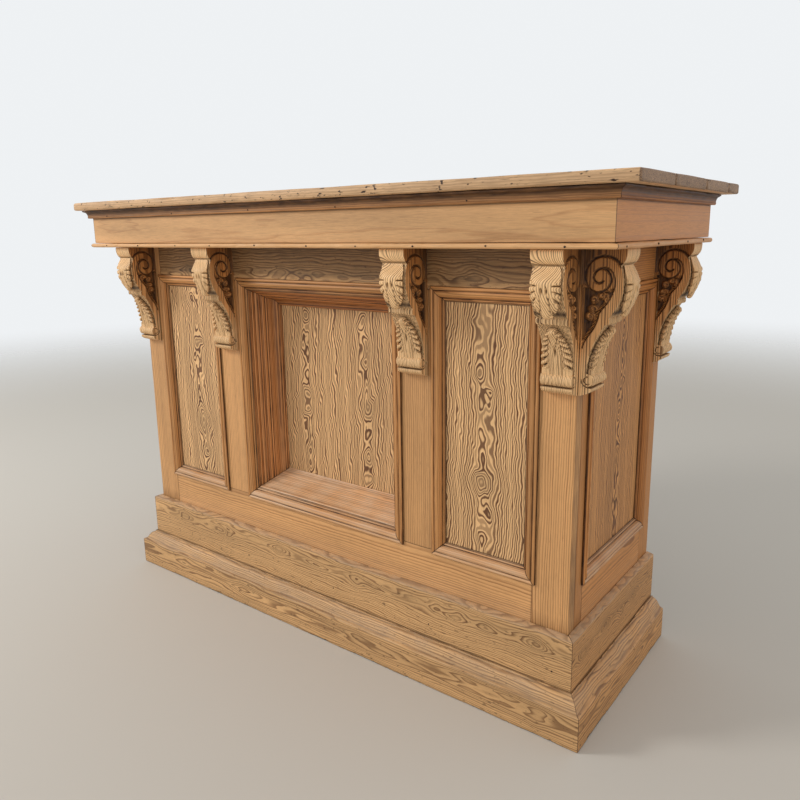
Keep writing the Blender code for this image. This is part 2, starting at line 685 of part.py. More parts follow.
def tube_solid(name, points, radius):
    """Make a closed square-sided tube through points, for use as a cutter."""
    curve = bpy.data.curves.new(name, "CURVE")
    curve.dimensions = "3D"
    curve.bevel_depth = radius
    curve.bevel_resolution = 0
    curve.use_fill_caps = True
    spline = curve.splines.new("POLY")
    spline.points.add(len(points) - 1)
    for target, point in zip(spline.points, points):
        target.co = (*point, 1.0)
    temporary = bpy.data.objects.new(name, curve)
    CUTTERS.objects.link(temporary)
    evaluated = temporary.evaluated_get(bpy.context.evaluated_depsgraph_get())
    mesh = bpy.data.meshes.new_from_object(evaluated)
    bpy.data.objects.remove(temporary, do_unlink=True)
    bpy.data.curves.remove(curve)
    bm = bmesh.new()
    bm.from_mesh(mesh)
    bmesh.ops.remove_doubles(bm, verts=bm.verts, dist=1e-5)
    bmesh.ops.recalc_face_normals(bm, faces=bm.faces)
    bm.to_mesh(mesh)
    bm.free()
    return mesh


def as_cutter(name, mesh):
    """Link a mesh to the cutters' collection, shown as wire and left out of renders."""
    cutter = bpy.data.objects.new(name, mesh)
    CUTTERS.objects.link(cutter)
    cutter.hide_render = True
    cutter.display_type = "WIRE"
    return cutter


def apply_booleans(name, body, steps):
    """Return the mesh of an object after a list of (operation, other object) steps."""
    for index, (operation, other) in enumerate(steps):
        modifier = body.modifiers.new(f"{operation.lower()}_{index}", "BOOLEAN")
        modifier.operation = operation
        modifier.solver = "EXACT"
        modifier.object = other
    evaluated = body.evaluated_get(bpy.context.evaluated_depsgraph_get())
    mesh = bpy.data.meshes.new_from_object(evaluated)
    mesh.name = name
    return mesh


def corbel_mesh():
    """Mesh of one carved corbel, its wall face at Y = 0, its foot at Z = 0 and its front at -Y."""
    turn = Matrix((FORWARD, UP, FORWARD.cross(UP))).transposed().to_4x4()
    body_mesh = extruded_mesh("corbel_body", scroll_outline(), CORBEL_WIDTH)
    body_mesh.transform(turn)
    body = as_cutter("corbel_body", body_mesh)
    hanging = ((0.0, HANGING_LEAF_TIP), HANGING_LEAF_SHOULDER, (HANGING_LEAF_ROOT, HANGING_LEAF_RISE))
    standing = (
        (STANDING_LEAF_FOOT, STANDING_LEAF_TIP),
        STANDING_LEAF_SHOULDER,
        (STANDING_LEAF_ROOT, STANDING_LEAF_RISE),
    )
    upper = leaf_solid("hanging_leaf", *hanging, 13)
    lower = leaf_solid("standing_leaf", *standing, 10)
    steps = [("UNION", upper), ("UNION", lower)]
    half = CORBEL_WIDTH / 2
    for side in (-1, 1):
        field_mesh = extruded_mesh("corbel_field", side_field_outline(), 2 * FIELD_DEPTH)
        field_mesh.transform(turn)
        field = as_cutter("corbel_field", field_mesh)
        field.location.x = side * half
        steps.append(("DIFFERENCE", field))
        path = [(side * half, -point.x, point.y) for point in spiral_points()]
        groove = as_cutter("volute_groove", tube_solid("volute_groove", path, GROOVE_RADIUS))
        steps.append(("DIFFERENCE", groove))
    mesh = apply_booleans("corbel", body, steps)
    for piece in [body] + [other for _, other in steps]:
        bpy.data.objects.remove(piece, do_unlink=True)
    return mesh


def make_corbels():
    """Eight corbels: one on each corner stile and muntin, and two on each end."""
    carved = corbel_mesh()
    half = CORBEL_WIDTH / 2
    corner = BODY_SIDE - half - CORBEL_INSET
    muntin = (MUNTIN_INNER + MUNTIN_OUTER) / 2
    front_row = (
        ("corbel_front_left_corner", -corner),
        ("corbel_front_left", -muntin),
        ("corbel_front_right", muntin),
        ("corbel_front_right_corner", corner),
    )
    for name, x in front_row:
        piece = add_object(name, carved.copy(), PARTS)
        piece.location = (x, BODY_FRONT - GAP, CORBEL_BOTTOM)
    end_row = (
        ("front", BODY_FRONT + half + CORBEL_INSET),
        ("back", BODY_BACK - half - CORBEL_INSET),
    )
    for side, direction in SIDES:
        for place, y in end_row:
            name = f"corbel_{side}_{place}"
            piece = add_object(name, carved.copy(), PARTS)
            piece.rotation_euler.z = direction.x * math.pi / 2
            piece.location = (direction.x * (BODY_SIDE + GAP), y, CORBEL_BOTTOM)
            notch_for_moulding(piece, side, direction, y)


def notch_for_moulding(piece, side, direction, corbel_y):
    """Cut the back of an end corbel over the panel moulding that runs under it."""
    clearance = 2 * GAP
    depth = MOULDING_RISE + clearance
    front = SIDE_OPENING_FRONT - MOULDING_LAP - clearance
    back = SIDE_OPENING_BACK + MOULDING_LAP + clearance
    top = OPENING_TOP + MOULDING_LAP + clearance
    bm = bmesh.new()
    bmesh.ops.create_cube(bm, size=1.0)
    bmesh.ops.scale(bm, vec=(2 * depth, back - front, 2 * OPENING_HEIGHT), verts=bm.verts)
    cutter = as_cutter(f"notch_{piece.name}", mesh_from("notch", bm))
    cutter.location = (direction.x * BODY_SIDE, (front + back) / 2, top - OPENING_HEIGHT)
    modifier = piece.modifiers.new("moulding_notch", "BOOLEAN")
    modifier.operation = "DIFFERENCE"
    modifier.solver = "EXACT"
    modifier.object = cutter


# Colour and roughness of each family of pieces, by the start of its name
FINISHES = {
    "top_board": ((0.33, 0.22, 0.11), 0.6),
    "bed_mould": ((0.30, 0.17, 0.08), 0.6),
    "fascia": ((0.56, 0.35, 0.16), 0.55),
    "soffit": ((0.56, 0.36, 0.17), 0.55),
    "corner_stile": ((0.51, 0.27, 0.10), 0.55),
    "muntin": ((0.51, 0.27, 0.10), 0.55),
    "front_": ((0.47, 0.25, 0.10), 0.55),
    "side_": ((0.47, 0.25, 0.10), 0.55),
    "panel": ((0.50, 0.32, 0.15), 0.6),
    "moulding": ((0.40, 0.20, 0.08), 0.55),
    "reveal": ((0.30, 0.14, 0.05), 0.55),
    "corbel": ((0.50, 0.31, 0.15), 0.6),
    "plinth_upper": ((0.40, 0.22, 0.09), 0.6),
    "plinth_lower": ((0.45, 0.26, 0.11), 0.6),
    "back_top_rail": ((0.40, 0.22, 0.10), 0.7),
    "bottom_board": ((0.40, 0.22, 0.10), 0.7),
    "shelf": ((0.42, 0.24, 0.11), 0.7),
}

clear_scene()
PARTS = new_collection("bar_counter")
CUTTERS = new_collection("cutters")
make_worktop()
make_canopy()
make_front_frame()
make_side_frames()
make_panels()
make_reveal()
make_mouldings()
make_plinth()
make_inside()
make_corbels()
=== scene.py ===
"""Looks of the panelled pine bar counter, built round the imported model.

Every board, moulding and carving is a surface worked out with numpy. A piece carries its own place
in the log it was cut from as an attribute, so that one solid pine shader draws straight lines on
quartered stiles, cathedral figure on slab-cut panels, contour rings on the carvings and arcs on
end grain.
"""
import logging
import math
from dataclasses import dataclass, field
from enum import Enum
from typing import Sequence

import bpy
import numpy as np
from mathutils import Matrix, Vector


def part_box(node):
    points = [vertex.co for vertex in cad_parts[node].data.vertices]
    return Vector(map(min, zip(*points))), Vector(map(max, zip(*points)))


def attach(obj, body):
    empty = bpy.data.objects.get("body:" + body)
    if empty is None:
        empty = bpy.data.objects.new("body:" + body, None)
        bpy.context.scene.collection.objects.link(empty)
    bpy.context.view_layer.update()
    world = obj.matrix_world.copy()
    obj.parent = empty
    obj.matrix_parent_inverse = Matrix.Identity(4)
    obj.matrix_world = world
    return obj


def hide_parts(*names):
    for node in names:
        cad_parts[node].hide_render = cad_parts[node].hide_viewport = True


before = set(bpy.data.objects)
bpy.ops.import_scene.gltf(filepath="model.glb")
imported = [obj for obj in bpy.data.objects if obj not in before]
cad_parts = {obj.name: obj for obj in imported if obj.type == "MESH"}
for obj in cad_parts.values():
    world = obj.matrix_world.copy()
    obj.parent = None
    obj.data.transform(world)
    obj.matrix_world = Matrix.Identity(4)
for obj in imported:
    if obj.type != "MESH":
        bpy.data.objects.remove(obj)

LOG = logging.getLogger("bar_counter")
ROOT = "root"
Array = np.ndarray
Point = Sequence[float]

LEFT = np.array((-1.0, 0.0, 0.0))
RIGHT = np.array((1.0, 0.0, 0.0))
FORWARD = np.array((0.0, -1.0, 0.0))
BACKWARD = np.array((0.0, 1.0, 0.0))
UP = np.array((0.0, 0.0, 1.0))
DOWN = np.array((0.0, 0.0, -1.0))
ENDS = (("left", LEFT), ("right", RIGHT))

EVERYWHERE = -1.0  # a height below every outline
NOWHERE = 9.0  # a height above every outline


class Axis(Enum):
    """The world axis that a board's grain runs along."""

    X = 0
    Y = 1
    Z = 2


def waves(points: Array, length: float, seed: int, count: int = 7) -> Array:
    """Smooth random relief: the mean of sine waves with random directions and phases.

    Args:
        points: Positions, last axis of three.
        length: Typical wavelength in metres.
        seed: Picks the set of waves.
        count: How many waves are added.

    Returns:
        Values of about -1 to 1, one for each position.
    """
    pick = np.random.RandomState(seed)
    turns = pick.normal(size=(count, 3))
    turns /= np.linalg.norm(turns, axis=1)[:, None]
    speeds = math.tau / length * pick.uniform(0.6, 1.5, count)
    phases = pick.uniform(0, math.tau, count)
    total = np.zeros(points.shape[:-1])
    for turn, speed, phase in zip(turns, speeds, phases):
        total += np.sin(points @ turn * speed + phase)
    return total / math.sqrt(count)


def smooth_step(low: float, high: float, values: Array) -> Array:
    """Ease from 0 at low to 1 at high, by 3t^2 - 2t^3."""
    t = np.clip((values - low) / (high - low), 0.0, 1.0)
    return t * t * (3 - 2 * t)


def arc(centre: Point, radius: float, start: float, end: float, steps: int) -> Array:
    """Points on a circular arc, both ends included."""
    angles = np.radians(np.linspace(start, end, steps + 1))
    return np.stack((centre[0] + radius * np.cos(angles), centre[1] + radius * np.sin(angles)), 1)


def bezier(points: Sequence[Point], steps: int) -> Array:
    """Points on a cubic curve.

    Args:
        points: Its start, two handles and end.
        steps: How many parts it is cut in.

    Returns:
        The points, both ends included.
    """
    t = np.linspace(0.0, 1.0, steps + 1)[:, None]
    a, b, c, d = (np.asarray(p, float) for p in points)
    s = 1 - t
    return a * s ** 3 + 3 * b * s * s * t + 3 * c * s * t * t + d * t ** 3


def distance_to(x: Array, y: Array, line: Array) -> Array:
    """Distance from each place (x, y) to the nearest of a line's closely spaced points.

    Args:
        x: First coordinates of the places.
        y: Second coordinates of the places.
        line: The line's points, taken in runs of forty to save memory.

    Returns:
        The distances, in the shape of x.
    """
    flat = np.stack((x.ravel(), y.ravel()), 1)
    nearest = np.full(len(flat), np.inf)
    for start in range(0, len(line), 40):
        gap = np.linalg.norm(flat[:, None, :] - line[None, start:start + 40], axis=2).min(1)
        nearest = np.minimum(nearest, gap)
    return nearest.reshape(x.shape)


def along_line(line: Array, count: int) -> Array:
    """Space points evenly along a line.

    Args:
        line: The line's points, of two coordinates.
        count: How many points are wanted.

    Returns:
        The new points, both ends included.
    """
    run = np.concatenate(([0.0], np.cumsum(np.linalg.norm(np.diff(line, axis=0), axis=1))))
    at = np.linspace(0, run[-1], count)
    return np.stack([np.interp(at, run, line[:, k]) for k in range(2)], 1)


def softened(values: Array, reach: int) -> Array:
    """Running mean of values over the given reach to both sides."""
    return np.convolve(np.pad(values, reach, "edge"), np.ones(2 * reach + 1) / (2 * reach + 1), "valid")


@dataclass
class Log:
    """Where a piece lay in its log: the grain axis and the pith's offset from the piece.

    The grain attribute holds metres along the grain and the two distances from the pith, so that
    the ring number is the distance from the pith over the ring width.
    """

    along: Array
    across: Array
    seed: int
    pith_across: float = 0.0
    pith_depth: float = -0.05
    tone: float = 0.0

    def place(self, points: Array, centre: Array) -> Array:
        """Work out grain coordinates.

        Args:
            points: Positions on the piece.
            centre: Its middle.

        Returns:
            Metres along the grain and the two distances from the pith.
        """
        local = points - centre
        depth = np.cross(self.along, self.across)
        own = (
            local @ self.along + 3.7 * self.seed,
            local @ self.across - self.pith_across,
            local @ depth - self.pith_depth,
        )
        return np.stack(own, -1)


@dataclass(frozen=True)
class Figure:
    """Growth rings on a slab-cut face, as ring numbers by place.

    A heart is (place across, depth of the pith below the face), and a knot is (place across, place
    along, how many rings it holds, radius). Places are in metres along the two directions.
    """

    along: Array
    across: Array
    hearts: tuple[tuple[float, float], ...]
    knots: tuple[tuple[float, float, float, float], ...] = ()
    ring: float = 0.005
    seed: int = 1
    stretch: float = 1.6
    islands: float = 0.9

    def rings(self, points: Array) -> tuple[Array, Array]:
        """Work out ring numbers and tone.

        The number is the distance from the nearest heart, sqrt(u^2 + depth^2), over the ring width.
        Each knot takes off its rings times (1 + r^2)^-1.15, which closes lines round it and bends the
        others outwards. Smooth waves move the place first, and raise islands along the hearts, which
        are darker.

        Args:
            points: Positions on the piece.

        Returns:
            Ring numbers, and the tone added to the board's own.
        """
        across = points @ self.across
        along = points @ self.along
        flat = np.stack((across, along / self.stretch, 0 * along), -1)
        u = across + 0.0030 * waves(flat, 0.055, self.seed) + 0.0010 * waves(flat, 0.017, self.seed + 1)
        w = along + 0.005 * waves(flat, 0.045, self.seed + 2)
        nearest = np.full(u.shape, np.inf)
        near = np.zeros(u.shape)
        for place, depth in self.hearts:
            drift = u - place - 0.004 * np.sin(w / (0.05 * self.stretch) + 90 * place)
            nearest = np.minimum(nearest, np.hypot(drift, depth))
            near = np.maximum(near, np.exp(-(drift / (1.1 * depth)) ** 2))
        number = nearest / self.ring
        tone = np.zeros(u.shape)
        for place, height, count, size in self.knots:
            tall = 0.9 * size * self.stretch ** 0.5
            gap = ((u - place) / (1.5 * size)) ** 2 + ((w - height) / tall) ** 2
            number = number - count * (1 + gap) ** -1.15
            tone = tone - 0.16 * count * np.exp(-1.2 * gap)
        tone = tone - 0.9 * near * (0.6 + 0.4 * waves(flat, 0.06, self.seed + 6))
        number = number + self.islands * near * waves(flat, 0.034, self.seed + 3, 9)
        return number + 0.13 * waves(flat, 0.012, self.seed + 4, 9), tone


@dataclass
class Draft:
    """A mesh that is being put together, with the values that its shader reads.

    The marks are dirt (soiling of hollows and joints, with painted shade in hollows, under overhangs and
    beside raised parts), weather (grey, worn wood), stain (old reddish finish), figure (ring number added to
    the log's own), own (1 where the figure alone counts) and tone (random tone, with painted shade under the
    canopy and on the corbels' sides, and painted light on the left reveal).
    """

    vertices: Array
    faces: list[Array]
    grain: Array
    marks: dict[str, Array] = field(default_factory=dict)

    def figured(self, figure: "Figure | None") -> "Draft":
        """Mark the ring numbers of a figure.

        Args:
            figure: The figure, if there is one.

        Returns:
            The draft itself.
        """
        if figure is not None:
            number, tone = figure.rings(self.vertices)
            self.marks["figure"] = number
            self.marks["own"] = 1.0
            self.marks["tone"] = self.marks.get("tone", 0.0) + tone
        return self

    def outward(self) -> "Draft":
        """Turn the faces over where the signed volume, the sum of a . (b x c) / 6, is below 0.

        Returns:
            The draft itself.
        """
        volume = 0.0
        for group in self.faces:
            first = self.vertices[group[:, 0]]
            for k in range(1, group.shape[1] - 1):
                second = self.vertices[group[:, k]]
                third = self.vertices[group[:, k + 1]]
                volume += float(np.sum(first * np.cross(second, third)))
        if volume < 0:
            self.faces = [group[:, ::-1] for group in self.faces]
        return self

    def to_object(
        self,
        name: str,
        finish: bpy.types.Material,
        slot: str,
        nodes: Sequence[str],
        smooth_below: float = 38,
    ) -> bpy.types.Object:
        """Write the mesh, and seat it on the root body in place of its solids.

        Args:
            name: The piece's name.
            finish: Its material.
            slot: Not used.
            nodes: The solids that it stands for, if any.
            smooth_below: Edges that turn by less than this many degrees are smooth.

        Returns:
            The finished object.
        """
        mesh = bpy.data.meshes.new(name)
        counts = [np.full(len(group), group.shape[1]) for group in self.faces]
        sizes = np.concatenate(counts).astype(np.int32)
        corners = np.concatenate([group.ravel() for group in self.faces]).astype(np.int32)
        mesh.vertices.add(len(self.vertices))
        mesh.vertices.foreach_set("co", self.vertices.astype(np.float32).ravel())
        mesh.loops.add(len(corners))
        mesh.loops.foreach_set("vertex_index", corners)
        mesh.polygons.add(len(sizes))
        starts = np.concatenate(([0], np.cumsum(sizes)[:-1])).astype(np.int32)
        mesh.polygons.foreach_set("loop_start", starts)
        mesh.polygons.foreach_set("loop_total", sizes)
        mesh.update(calc_edges=True)
        mesh.validate()
        layer = mesh.attributes.new("grain", "FLOAT_VECTOR", "POINT")
        layer.data.foreach_set("vector", self.grain.astype(np.float32).ravel())
        for key, values in self.marks.items():
            layer = mesh.attributes.new(key, "FLOAT", "POINT")
            layer.data.foreach_set("value", np.broadcast_to(values, len(self.vertices)).astype(np.float32))
        mesh.shade_smooth()
        mesh.set_sharp_from_angle(angle=math.radians(smooth_below))
        mesh.materials.append(finish)
        piece = bpy.data.objects.new(name, mesh)
        bpy.context.scene.collection.objects.link(piece)
        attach(piece, ROOT)
        if nodes:
            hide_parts(*nodes)
        LOG.info("%s: %d vertices, %d faces", name, len(self.vertices), len(sizes))
        return piece


def joined(drafts: Sequence[Draft]) -> Draft:
    """Put several closed shells into one draft.

    Args:
        drafts: The shells. A mark that one of them lacks is 0 there.

    Returns:
        One draft with all their points, faces and marks.
    """
    offsets = np.cumsum([0] + [len(draft.vertices) for draft in drafts])
    faces = [group + offset for draft, offset in zip(drafts, offsets) for group in draft.faces]
    marks = {}
    for key in sorted({key for draft in drafts for key in draft.marks}):
        parts = [np.broadcast_to(draft.marks.get(key, 0.0), len(draft.vertices)) for draft in drafts]
        marks[key] = np.concatenate(parts)
    vertices = np.concatenate([draft.vertices for draft in drafts])
    return Draft(vertices, faces, np.concatenate([draft.grain for draft in drafts]), marks)


def loop_faces(rings: int, around: int) -> list[Array]:
    """Faces of a tube of rings of points: quads between rings and a flat cap at each end.

    Args:
        rings: How many rings there are.
        around: Points in each ring.

    Returns:
        Index arrays, one for the quads and one for each cap.
    """
    ring = np.arange(rings - 1)[:, None] * around
    here = np.arange(around)[None, :]
    after = (here + 1) % around
    quads = np.stack((ring + here, ring + after, ring + around + after, ring + around + here), -1)
    first = np.arange(around)[::-1][None, :]
    last = (rings - 1) * around + np.arange(around)[None, :]
    return [quads.reshape(-1, 4), first, last]


def stations(length: float, step: float, margin: float = 0.0016) -> Array:
    """Places along a length, evenly spaced but for one more close to each end.

    Args:
        length: The whole length.
        step: Greatest distance between places.
        margin: Distance of the added places from the ends.

    Returns:
        Places from 0 to the length.
    """
    if length < 4 * margin:
        return np.array((0.0, length / 2, length))
    count = max(1, int(math.ceil((length - 2 * margin) / step)))
    return np.concatenate(([0.0], np.linspace(margin, length - margin, count + 1), [length]))


def rounded_rectangle(
    width: float, height: float, radius: float, step: float, under_step: float
) -> tuple[Array, Array, Array]:
    """A rounded rectangle about the origin, run anticlockwise.

    Args:
        width: Size along the first coordinate.
        height: Size along the second coordinate.
        radius: Corner radius.
        step: Greatest distance between points on the straight sides.
        under_step: The same on the lower side.

    Returns:
        The points, their outward directions, and 1 at corners fading to 0 along the sides.
    """
    points, normals, corner = [], [], []
    half = np.array((width / 2 - radius, height / 2 - radius))
    signs = ((1, 1), (-1, 1), (-1, -1), (1, -1))
    for index, sign in enumerate(signs):
        centre = half * sign
        turn = np.radians(np.linspace(90 * index, 90 * index + 90, 5))
        normal = np.stack((np.cos(turn), np.sin(turn)), 1)
        points.append(centre + normal * radius)
        normals.append(normal)
        corner.append(np.ones(len(turn)))
        following = half * signs[(index + 1) % 4]
        start = centre + normal[-1] * radius
        end = following + normal[-1] * radius
        length = np.linalg.norm(end - start)
        share = stations(length, under_step if index == 2 else step)[1:-1] / length
        points.append(start + (end - start) * share[:, None])
        normals.append(np.repeat(normal[-1:], len(share), 0))
        corner.append(np.zeros(len(share)))
    return np.concatenate(points), np.concatenate(normals), np.concatenate(corner)


@dataclass
class Plank:
    """A sawn board: a rounded rectangle carried along the grain, with rounded ends."""

    low: Array
    high: Array
    log: Log
    radius: float = 0.0009
    step: float = 0.03
    along_step: float = 0.03
    unevenness: float = 0.0002
    wear: float = 0.0003
    cup: float = 0.0
    end_weather: float = 0.3
    edge_dirt: float = 0.5
    under_step: float = 0.03
    stain: float = 0.0
    figure: Figure | None = None

    def draft(self) -> Draft:
        """Build the board.

        A section point is the rounded rectangle's point, drawn in along its outward direction by
        the end rounding r(1 - sin a) and by smooth random wear that is strongest at the corners.
        Cupping lowers the section by cup times (2 y / width)^2.

        Returns:
            The board's mesh and marks.
        """
        size = self.high - self.low
        centre = (self.high + self.low) / 2
        depth = np.cross(self.log.along, self.log.across)
        length, width, height = (abs(size @ axis) for axis in (self.log.along, self.log.across, depth))
        section, normal, corner = rounded_rectangle(width, height, self.radius, self.step, self.under_step)
        turn = np.radians(np.linspace(0, 90, 5))
        ends = self.radius * (1 - np.cos(turn))
        middle = self.radius + stations(length - 2 * self.radius, self.along_step)[1:-1]
        places = np.concatenate((ends, middle, length - ends[::-1]))
        inset = np.zeros(len(places))
        inset[:5] = self.radius * (1 - np.sin(turn))
        inset[-5:] = inset[:5][::-1]
        flat = section[None] - normal[None] * inset[:, None, None]
        outward = normal[:, 0:1] * self.log.across + normal[:, 1:2] * depth
        where = (
            centre
            + (places[:, None, None] - length / 2) * self.log.along
            + flat[..., 0:1] * self.log.across
            + flat[..., 1:2] * depth
        )
        seed = self.log.seed
        slow = waves(where, 0.22, seed) * self.unevenness
        chip = np.clip(waves(where, 0.018, seed + 50) - 0.7, 0, None) * 1.4
        knocks = 0.35 + 0.65 * np.clip(waves(where, 0.09, seed + 51), 0, 1) + chip
        rub = knocks * corner[None] * self.wear
        inward = np.maximum(self.unevenness * 1.6 - slow, 0) + rub
        where = where - outward[None] * inward[..., None]
        hollow = self.cup * (2 * flat[..., 0:1] / width) ** 2
        where = where - hollow * depth * (flat[..., 1:2] / height + 0.5)
        weather = np.zeros(where.shape[:2])
        weather[:4] = weather[-4:] = self.end_weather
        points = where.reshape(-1, 3)
        grain = self.log.place(points, centre)
        margin = np.minimum(width / 2 - np.abs(flat[..., 0]), np.minimum(places, length - places)[:, None])
        dirt = self.edge_dirt * (1 - smooth_step(0.0, 0.0022, margin - self.radius / 2))
        dirt = dirt * (0.75 + 0.25 * waves(where, 0.06, seed + 53))
        marks = {"dirt": dirt.ravel(), "weather": weather.ravel(), "tone": self.log.tone, "stain": self.stain}
        return Draft(points, loop_faces(*weather.shape), grain, marks).figured(self.figure).outward()


@dataclass(frozen=True)
class AgeAndShade:
    """How a moulded length has aged and where shade is painted on it, by heights on its outline.

    Its noses are rubbed down and its hollows darken with dirt and painted shade, by the share of cavity. It
    is weathered above one height and darkened with painted shadow above another, and each dark line is a
    narrow dark band, used for painted shadow under a moulding and at the floor and for a dark joint.
    """

    rub: float = 0.0003
    cavity: float = 1.0
    worn_above: float = NOWHERE
    worn: float = 0.7
    shaded_above: float = NOWHERE
    shaded_over: float = 0.0001
    dark_lines: tuple[float, ...] = ()

    def soiled_and_shaded(self, height: Array) -> Array:
        """Add up the painted shade and the dark joints by height.

        Args:
            height: Places on the outline.

        Returns:
            The share of darkening.
        """
        # Painted shadow above one height, and narrow dark bands at the dark lines.
        dirt = smooth_step(self.shaded_above, self.shaded_above + self.shaded_over, height)
        for level in self.dark_lines:
            dirt = np.maximum(dirt, np.exp(-((height - level) / 0.0013) ** 2))
        return 0.9 * dirt

    def weathered(self, height: Array) -> Array:
        """Return the share of weathering at each height."""
        return self.worn * smooth_step(self.worn_above - 0.002, self.worn_above + 0.002, height)


@dataclass
class Run:
    """A moulded length: an outline of (across, face) points carried along a straight line."""

    outline: Array
    centre: Array
    across: Array
    face: Array
    length: float
    low_mitre: float
    high_mitre: float
    seed: int
    pith: tuple[float, float]
    tone: float = 0.0
    stain: float = 0.0
    along_step: float = 0.02
    age: AgeAndShade = AgeAndShade()
    figure: Figure | None = None
    wobble: float = 0.00025
    gap: float = 0.0002

    def draft(self) -> Draft:
        """Build the length.

        Station t of outline point (u, h) lies at centre + u across + h face + t along, and the
        ends lean with u where they are mitred. Hollows of the outline, where it turns inwards,
        get dirt and painted shade, and its noses get wear.

        Returns:
            The length's mesh and marks.
        """
        along = np.cross(self.across, self.face)
        share = (stations(self.length, self.along_step) / self.length)[:, None]
        u, height = self.outline.T[:, None]
        low = -self.length / 2 - self.low_mitre * u + self.gap
        high = self.length / 2 + self.high_mitre * u - self.gap
        t = low + (high - low) * share
        section = self.centre + u[..., None] * self.across + height[..., None] * self.face
        where = section + t[..., None] * along
        normal = self.normals()
        outward = normal[:, 0:1] * self.across + normal[:, 1:2] * self.face
        bend = self.turning()
        slow = waves(where, 0.16, self.seed) * self.wobble
        chip = np.clip(waves(where, 0.014, self.seed + 50) - 0.8, 0, None) * 1.6
        knocks = 0.3 + 0.7 * np.clip(waves(where, 0.07, self.seed + 9), 0, 1) + chip
        rub = np.clip(bend, 0, 1) * knocks * self.age.rub
        where = where - outward * (np.maximum(self.wobble * 1.2 - slow, 0) + rub)[..., None]
        # Dirt and painted shade in the outline's hollows; the mitred ends are dark joints.
        dirt = np.clip(-bend, 0, 1) * self.age.cavity * (0.8 + 0.2 * waves(where, 0.05, self.seed + 3))
        dirt[0] = 1.0 if self.low_mitre else 0.2
        dirt[-1] = 1.0 if self.high_mitre else 0.2
        dirt = np.maximum(dirt, self.age.soiled_and_shaded(height))
        weather = self.age.weathered(height) * (0.85 + 0.3 * waves(where, 0.08, self.seed + 5))
        marks = {"dirt": np.clip(dirt, 0, 1).ravel(), "weather": np.clip(weather, 0, 1).ravel()}
        marks |= {"tone": self.tone, "stain": self.stain}
        points = where.reshape(-1, 3)
        grain = Log(along, self.across, self.seed, *self.pith).place(points, self.centre)
        return Draft(points, loop_faces(*dirt.shape), grain, marks).figured(self.figure).outward()

    def normals(self) -> Array:
        """Find the outward directions of the outline's points, from the line through its neighbours.

        Returns:
            Unit directions of (across, face).
        """
        tangent = np.roll(self.outline, -1, 0) - np.roll(self.outline, 1, 0)
        normal = np.stack((tangent[:, 1], -tangent[:, 0]), 1)
        normal /= np.maximum(np.linalg.norm(normal, axis=1), 1e-9)[:, None]
        return normal * self.way()

    def way(self) -> float:
        """Tell which way the outline runs, from its signed area.

        Returns:
            1 where it runs anticlockwise, else -1.
        """
        x, y = self.outline.T
        area = np.sum(x * np.roll(y, -1) - np.roll(x, -1) * y)
        return 1.0 if area > 0 else -1.0

    def turning(self) -> Array:
        """Measure how sharply the outline turns, as its angle over 40 degrees, smoothed a little.

        Returns:
            Values over 0 on noses and under 0 in hollows.
        """
        before = self.outline - np.roll(self.outline, 1, 0)
        after = np.roll(self.outline, -1, 0) - self.outline
        cross = before[:, 0] * after[:, 1] - before[:, 1] * after[:, 0]
        dot = np.sum(before * after, 1)
        bend = np.arctan2(cross, dot) * self.way() / math.radians(40)
        return np.convolve(np.concatenate((bend[-2:], bend, bend[:2])), (0.3, 0.7, 1, 0.7, 0.3), "valid")


def rounded_outline(points: Sequence[Point], radius: float, spacing: float = 0.004) -> Array:
    """Round the sharp corners of a closed outline with small arcs and add points between them.

    Args:
        points: The outline's corners and curve points, in order.
        radius: Radius of the rounding, limited to a third of the shorter side at each corner.
        spacing: Greatest distance between points.

    Returns:
        The denser outline.
    """
    line = np.asarray(points, float)
    result = []
    for here, last, following in zip(line, np.roll(line, 1, 0), np.roll(line, -1, 0)):
        back, ahead = last - here, following - here
        back_length, ahead_length = np.linalg.norm(back), np.linalg.norm(ahead)
        cut = min(radius, back_length / 3, ahead_length / 3)
        start = here + back / back_length * cut
        end = here + ahead / ahead_length * cut
        cosine = np.dot(back, ahead) / back_length / ahead_length
        steps = 1 if cosine < -0.93 else 3
        t = np.linspace(0, 1, steps + 1)[:, None]
        result.append((1 - t) ** 2 * start + 2 * t * (1 - t) * here + t * t * end)
    dense = np.concatenate(result)
    pieces = []
    for a, b in zip(dense, np.roll(dense, -1, 0)):
        count = max(1, int(math.ceil(np.linalg.norm(b - a) / spacing)))
        pieces.append(a + (b - a) * np.linspace(0, 1, count + 1)[:-1, None])
    return np.concatenate(pieces)


